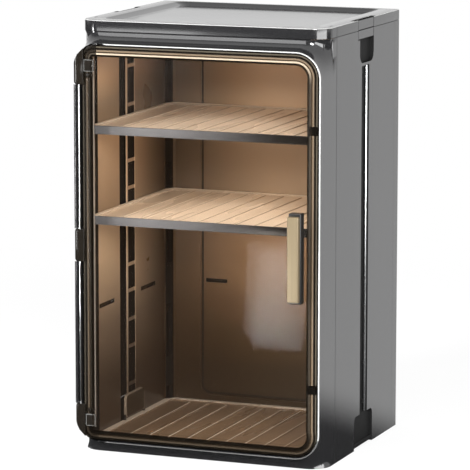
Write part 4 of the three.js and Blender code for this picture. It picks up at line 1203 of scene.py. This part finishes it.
def ribbedTray(half, y0, y1, top, bottom, pitch, borders, gap):
    # Height field on a plan grid: crests along Y whose section is one wave of a cosine and whose ends
    # ramp down, inside a raised border; the underside steps up into square pockets. The last columns
    # of the plan draw in behind, beside the corner posts.
    sideBorder, frontBorder, rearBorder = borders
    plateTop = top - rib["height"]
    count = math.floor((half - tray["border"]) / pitch)
    crests = (np.arange(-count, count) + 0.5) * pitch
    wave = np.linspace(-0.5, 0.5, 13) * rib["width"]
    limitX = innerHalf - backPost["width"]
    cellsX = cellLimits(-limitX, limitX)
    cellsY = cellLimits(y0 + 2 * tray["web"], y1 - 2 * tray["web"])
    lip = 0.8
    xs = np.concatenate([
        (crests[:, None] + wave).ravel(), cellsX.ravel() - 0.05, cellsX.ravel() + 0.05,
        [half - sideBorder - lip, half - sideBorder, half - 0.5, half],
        [-half + sideBorder + lip, -half + sideBorder, -half + 0.5, -half]])
    slant = backPost["depth"] / backPost["width"]
    sideY = backFace - backPost["depth"] - gap + (innerHalf - half) * slant
    rampY = rib["ramp"]
    ribStart, ribEnd = y0 + frontBorder + rib["inset"], y1 - rearBorder - rib["inset"]
    ys = np.concatenate([
        cellsY.ravel() - 0.05, cellsY.ravel() + 0.05, [y0, y0 + 0.5, sideY, y1 - 0.5, y1],
        ribStart + np.linspace(0, 1, 6) * rampY, ribEnd - np.linspace(0, 1, 6) * rampY,
        [y0 + frontBorder, y0 + frontBorder + lip, y1 - rearBorder - lip, y1 - rearBorder],
        np.linspace(sideY, y1, 5)])
    xs = np.unique(np.round(xs[(np.abs(xs) <= half)], 3))
    ys = np.unique(np.round(ys[(ys >= y0) & (ys <= y1)], 3))

    nearest = np.abs(xs[:, None] - crests).min(1)
    section = 0.5 + 0.5 * np.cos(np.clip(nearest / (rib["width"] / 2), 0, 1) * math.pi)
    ramp = smoothStep((ys - ribStart) / rampY) * smoothStep((ribEnd - ys) / rampY)
    crest = ramp[:, None] * section[None, :]
    fromSide = smoothStep((np.abs(xs) - (half - sideBorder - lip)) / lip)
    fromRear = smoothStep((ys - (y1 - rearBorder - lip)) / lip)
    fromFront = smoothStep((y0 + frontBorder + lip - ys) / lip) if frontBorder else ys * 0
    rim = np.maximum(np.maximum(fromRear, fromFront)[:, None], fromSide[None, :])
    height = plateTop + rib["height"] * np.maximum(crest, rim)
    pocket = inAny(ys, cellsY)[:, None] & inAny(xs, cellsX)[None, :]
    under = np.where(pocket, plateTop - tray["plate"], bottom)

    rearHalf = limitX - gap + (backFace - y1) / slant
    halfAt = half - (half - rearHalf) * np.clip((ys - sideY) / (y1 - sideY), 0, 1)
    past = np.maximum(np.abs(xs) - tray["chamferFrom"], 0)[None, :]
    drawn = past * ((halfAt - tray["chamferFrom"]) / (half - tray["chamferFrom"]))[:, None]
    planX = np.sign(xs)[None, :] * (np.minimum(np.abs(xs), tray["chamferFrom"])[None, :] + drawn)
    planY = np.broadcast_to(ys[:, None], planX.shape)
    upper = np.stack([planX, planY, height], -1)
    lower = np.stack([planX, planY, under], -1)
    return closedField(upper, lower)


def closedField(upper, lower):
    # two height fields over one plan, closed by a wall round their common edge
    rows, columns = upper.shape[:2]
    index = np.arange(rows * columns).reshape(rows, columns)
    quads = np.stack([index[:-1, :-1], index[:-1, 1:], index[1:, 1:], index[1:, :-1]], -1)
    quads = quads.reshape(-1, 4)
    under = quads[:, ::-1] + rows * columns
    edge = np.concatenate([index[0, :-1], index[:-1, -1], index[-1, :0:-1], index[:0:-1, 0]])
    after = np.roll(edge, -1)
    wall = np.stack([edge, edge + rows * columns, after + rows * columns, after], -1)
    points = np.concatenate([upper.reshape(-1, 3), lower.reshape(-1, 3)])
    return points, np.concatenate([quads, under, wall]).tolist()


shelf = {
    "pitch": 27.0,
    "borders": (7.0, 0.0, 7.0),
    "gap": 1.2,
    "sideTabs": ((48.3, 99.7), (193.3, 244.7)),
    "rearTab": (77.3, 109.7),
    "tabDrop": 5.5,
    "tabHeight": 5.0,
    "tabReach": 2.4,
    "tabEdge": 0.4,
    "trimEdge": 0.9,
}


def makeShelf(level):
    # ribbed plate with tabs into the walls' slots, and the trim along its front
    d = shelf
    low, high = edgesOf(f"{level}_shelf")
    half = edgesOf(f"{level}_shelf_trim")[1].x
    rear = backFace - d["gap"]
    plate = ribbedTray(half, low.y, rear, high.z, low.z, d["pitch"], d["borders"], d["gap"])
    top = high.z - d["tabDrop"]
    places = [((half - 0.5, innerHalf + d["tabReach"]), y) for y in d["sideTabs"]]
    places.append((d["rearTab"], (rear - 0.5, backFace + d["tabReach"])))
    tabs = [softBlock(x, y, (top - d["tabHeight"], top), d["tabEdge"], "z") for x, y in places]
    addPiece(f"{level}_ribbed_shelf", [plate] + bothSides(tabs), trayPlastic, "cabinet",
             [f"{level}_shelf"], 40)
    addPiece(f"{level}_shelf_strip", [filledBox(f"{level}_shelf_trim", d["trimEdge"], "x")], trimPaint,
             "cabinet", [f"{level}_shelf_trim"])


for level in ("upper", "middle"):
    makeShelf(level)
print("shelves made")


floor = {
    "pitch": 28.0,
    "borders": (9.0, 9.0, 9.0),
    "gap": 0.3,
    "top": 14.6,
    "bottom": 1.2,
    "pad": {"x": 146, "radius": 14, "inset": 22.0, "heights": (2.8, 12.5), "edge": 0.5},
    "tongue": {"reach": 6.6, "y": (120.3, 193.7), "z": (3.2, 8.7), "edge": 0.5},
    "web": {"reach": (1.6, 3.4), "z": (4.0, 46.9), "edge": 0.4},
    "ear": {
        "half": 1.9, "y": (lockLow.y - 3.0, lockHigh.y + 0.4), "width": 2.6, "top": 22.1, "edge": 0.6},
}


def makeFloorTray():
    # ribbed floor with bosses over the feet, tongues and webs in the walls' arches, and ears for the
    # locking flaps
    d = floor
    pad, tongue, web, ear = d["pad"], d["tongue"], d["web"], d["ear"]
    half = innerHalf - d["gap"]
    y0, y1 = jambBack + d["gap"], backFace - d["gap"]
    plate = ribbedTray(half, y0, y1, d["top"], d["bottom"], d["pitch"], d["borders"], d["gap"])
    pads = [turned("z", (pad["x"], y), pad["radius"], *pad["heights"], pad["edge"])
            for y in (y0 + pad["inset"], backFace - pad["inset"])]
    addPiece("ribbed_floor", [plate] + bothSides(pads), trayPlastic, "cabinet", ["base_tray"],
             40)
    ends = [softBlock((half - 0.5, half + tongue["reach"]), tongue["y"], tongue["z"], tongue["edge"],
                      "z"),
            softBlock([half + reach for reach in web["reach"]], tongue["y"], web["z"], web["edge"], "x")]
    ears = (lockLow.x + lockHigh.x) / 2 - ear["half"], half
    ends += [softBlock(ears, (y, y + ear["width"]), (d["top"] - 0.5, ear["top"]), ear["edge"], "x")
             for y in ear["y"]]
    addPiece("floor_tongues", bothSides(ends), plainPlastic, "cabinet", ["base_tray"], 40)


makeFloorTray()
print("floor made")


# Rods, magnets

def makeRod(node, finish, body="cabinet", axis="z", edge=0.4, slim=0.0):
    # smooth round rod in the box of a node
    low, high = edgesOf(node)
    reach = {"x": 0, "y": 1, "z": 2}[axis]
    across = [i for i in range(3) if i != reach]
    centre = [(low[i] + high[i]) / 2 for i in across]
    radius = (high[across[0]] - low[across[0]]) / 2 - slim
    shell = turned(axis, centre, radius, low[reach], high[reach], edge)
    return addPiece(f"{node}_turned", [shell], finish, body, [node])


for side in ("left", "right"):
    makeRod(f"{side}_fold_pin", steel, slim=0.5)
makeRod("door_hinge_pin", steel)
for end in ("lower", "upper"):
    makeRod(f"{end}_door_magnet", magnetBlack, "door", "y")
    makeRod(f"{end}_frame_magnet", magnetBlack, "cabinet", "y")
print("rods and magnets made")


# Solids of the frame that show as they are, with softened edges

kept = {
    "shell": (shellPlastic, 0.7, [
        "left_wall_front", "right_wall_front", "left_wall_rear", "right_wall_rear", "back_panel",
        "left_lid_latch", "right_lid_latch"]),
    "locks": (lockPlastic, 0.7, ["left_floor_lock", "right_floor_lock"]),
    "steel": (steel, 0.25, [
        "lower_handle_screw", "upper_handle_screw", "front_left_seam_pin", "front_right_seam_pin",
        "rear_left_seam_pin", "rear_right_seam_pin", "left_latch_pin", "right_latch_pin",
        "left_lock_pin", "right_lock_pin"]),
    "rubber": (footRubber, 0.6, [
        "front_left_foot", "front_right_foot", "rear_left_foot", "rear_right_foot"]),
}
flatUpTo, bevelFrom = 1, 40


def dress(node, finish, edge):
    # welds the loose triangles, melts flat ones together and rounds the edges
    piece = nodes[node]
    piece.data.materials.clear()
    piece.data.materials.append(finish)
    weld = piece.modifiers.new("weld", "WELD")
    weld.merge_threshold = weldReach
    flat = piece.modifiers.new("flat faces", "DECIMATE")
    flat.decimate_type = "DISSOLVE"
    flat.angle_limit = math.radians(flatUpTo)
    soft = piece.modifiers.new("soft edges", "BEVEL")
    soft.width = edge * mm
    soft.segments = 2
    soft.limit_method = "ANGLE"
    soft.angle_limit = math.radians(bevelFrom)
    soft.harden_normals = False


for finish, edge, names in kept.values():
    for node in names:
        dress(node, finish, edge)
print("kept solids dressed")


# Stage

stage = {"floorSize": 40.0, "floorWhite": (0.86, 0.86, 0.86), "nearGlow": 0.8, "fade": (0.7, 1.6),
         "frontDark": 0.05, "frontFade": (-0.1, 0.12), "sideLean": 0.8}


def makeFloor():
    # Pale floor that keeps the shadow near the cabinet and is plain white further out. In reflections
    # it is white behind and beside the cabinet and dark in front of it.
    mesh = bpy.data.meshes.new("studio floor")
    half = stage["floorSize"] / 2
    corners = [(-half, -half, 0), (half, -half, 0), (half, half, 0), (-half, half, 0)]
    mesh.from_pydata(corners, [], [(0, 1, 2, 3)])
    f = newFinish("pale floor")
    matt = f.node("ShaderNodeBsdfDiffuse", {}, {"Color": stage["floorWhite"]})
    seen, mirrored, through = f.rays()
    x, y = f.metres("X"), f.metres("Y")
    far = f.ramp((x * x + y * y).root(), stage["fade"], (stage["nearGlow"], 1.0))
    behind = f.ramp(y - x.size() * stage["sideLean"], stage["frontFade"], (stage["frontDark"], 1.0))
    glow = f.node("ShaderNodeEmission", {}, {
        "Color": (1, 1, 1), "Strength": seen + through + mirrored * behind})
    mesh.materials.append(f.surface(f.mixed(seen * far + mirrored + through, matt, glow)))
    placed("studio floor", mesh)


world = {"ambient": 0.6, "front": 0.06, "frontDirection": (-0.36, -0.92, 0.1), "fade": (0.30, 0.80)}


def makeWorld():
    # white where the camera or a reflection looks past the cabinet, darker towards the room in front
    owner = bpy.data.worlds.new("studio")
    bpy.context.scene.world = owner
    f = Finish(owner)
    direction = f.node("ShaderNodeTexCoord", output="Generated")
    towards = Vector(world["frontDirection"]).normalized()
    facing = f.node("ShaderNodeVectorMath", {"operation": "DOT_PRODUCT"},
                    {0: direction, 1: towards}, output="Value")
    room = 1 - f.ramp(facing, world["fade"]) * (1 - world["front"])
    seen, mirrored, through = f.rays()
    plain = 1 - seen - mirrored - through
    level = seen + through + mirrored * room + plain * world["ambient"]
    colour = f.node("ShaderNodeCombineColor", {}, {0: level, 1: level, 2: level})
    back = f.node("ShaderNodeBackground", {}, {"Color": colour, "Strength": 1.0})
    f.node("ShaderNodeOutputWorld", {}, {"Surface": back})


lamps = {
    "right key": {"at": (1.45, -2.5, 1.5), "size": (1.0, 1.0), "power": 125},
    "left key": {"at": (-1.2, -2.6, 1.55), "size": (1.0, 1.0), "power": 125, "unseen": True},
    "front softbox": {"at": (-0.62, -1.55, 1.45), "size": (0.8, 1.5), "power": 14},
    "right panel": {"at": (1.38, -0.60, 0.37), "size": (1.5, 0.5), "power": 18},
    "left strip": {"at": (-1.17, -0.99, 0.25), "size": (0.12, 0.5), "power": 8.0},
    "left card": {"at": (-0.625, -1.33, 0.437), "size": (0.25, 0.125), "power": 0.5},
    "middle card": {"at": (-0.425, -1.33, 0.437), "size": (0.15, 0.125), "power": 0.055},
    "door sheen": {"at": (-0.010, -0.50, 0.160), "size": (0.076, 0.140), "power": 0.72},
}
lampTarget = Vector((0, 0, 0.3))


def makeLamps():
    # area lamps that face the cabinet and don't show in the picture themselves
    for name, d in lamps.items():
        light = bpy.data.lights.new(name, "AREA")
        light.shape = "RECTANGLE"
        light.size, light.size_y = d["size"]
        light.energy = d["power"]
        lamp = placed(name, light)
        lamp.location = d["at"]
        lamp.rotation_euler = (lampTarget - lamp.location).to_track_quat("-Z", "Y").to_euler()
        lamp.visible_camera = False
        lamp.visible_glossy = not d.get("unseen")


camera = {
    "at": (1.601935, -3.974939, 1.012171),
    "azimuth": 21.342,
    "down": 9.367,
    "roll": 0.04,
    "lens": 251.24,
    "sensor": 36.0,
    "farthest": 50.0,
}


def makeCamera():
    # long lens from the right and slightly above, as the product is pictured
    view = bpy.data.cameras.new("camera")
    view.sensor_width = camera["sensor"]
    view.lens = camera["lens"]
    view.clip_end = camera["farthest"]
    eye = placed("camera", view)
    x, y, z = camera["at"]
    turn, tilt, roll = [Matrix.Rotation(math.radians(angle), 4, axis) for angle, axis in (
        (camera["azimuth"], "Z"), (90 - camera["down"], "X"), (camera["roll"], "Z"))]
    eye.matrix_world = Matrix.Translation((x, y + lidFront, z)) @ turn @ tilt @ roll
    bpy.context.scene.camera = eye


makeFloor()
makeWorld()
makeLamps()
makeCamera()
bpy.context.scene.view_settings.view_transform = "Standard"
print("stage set")
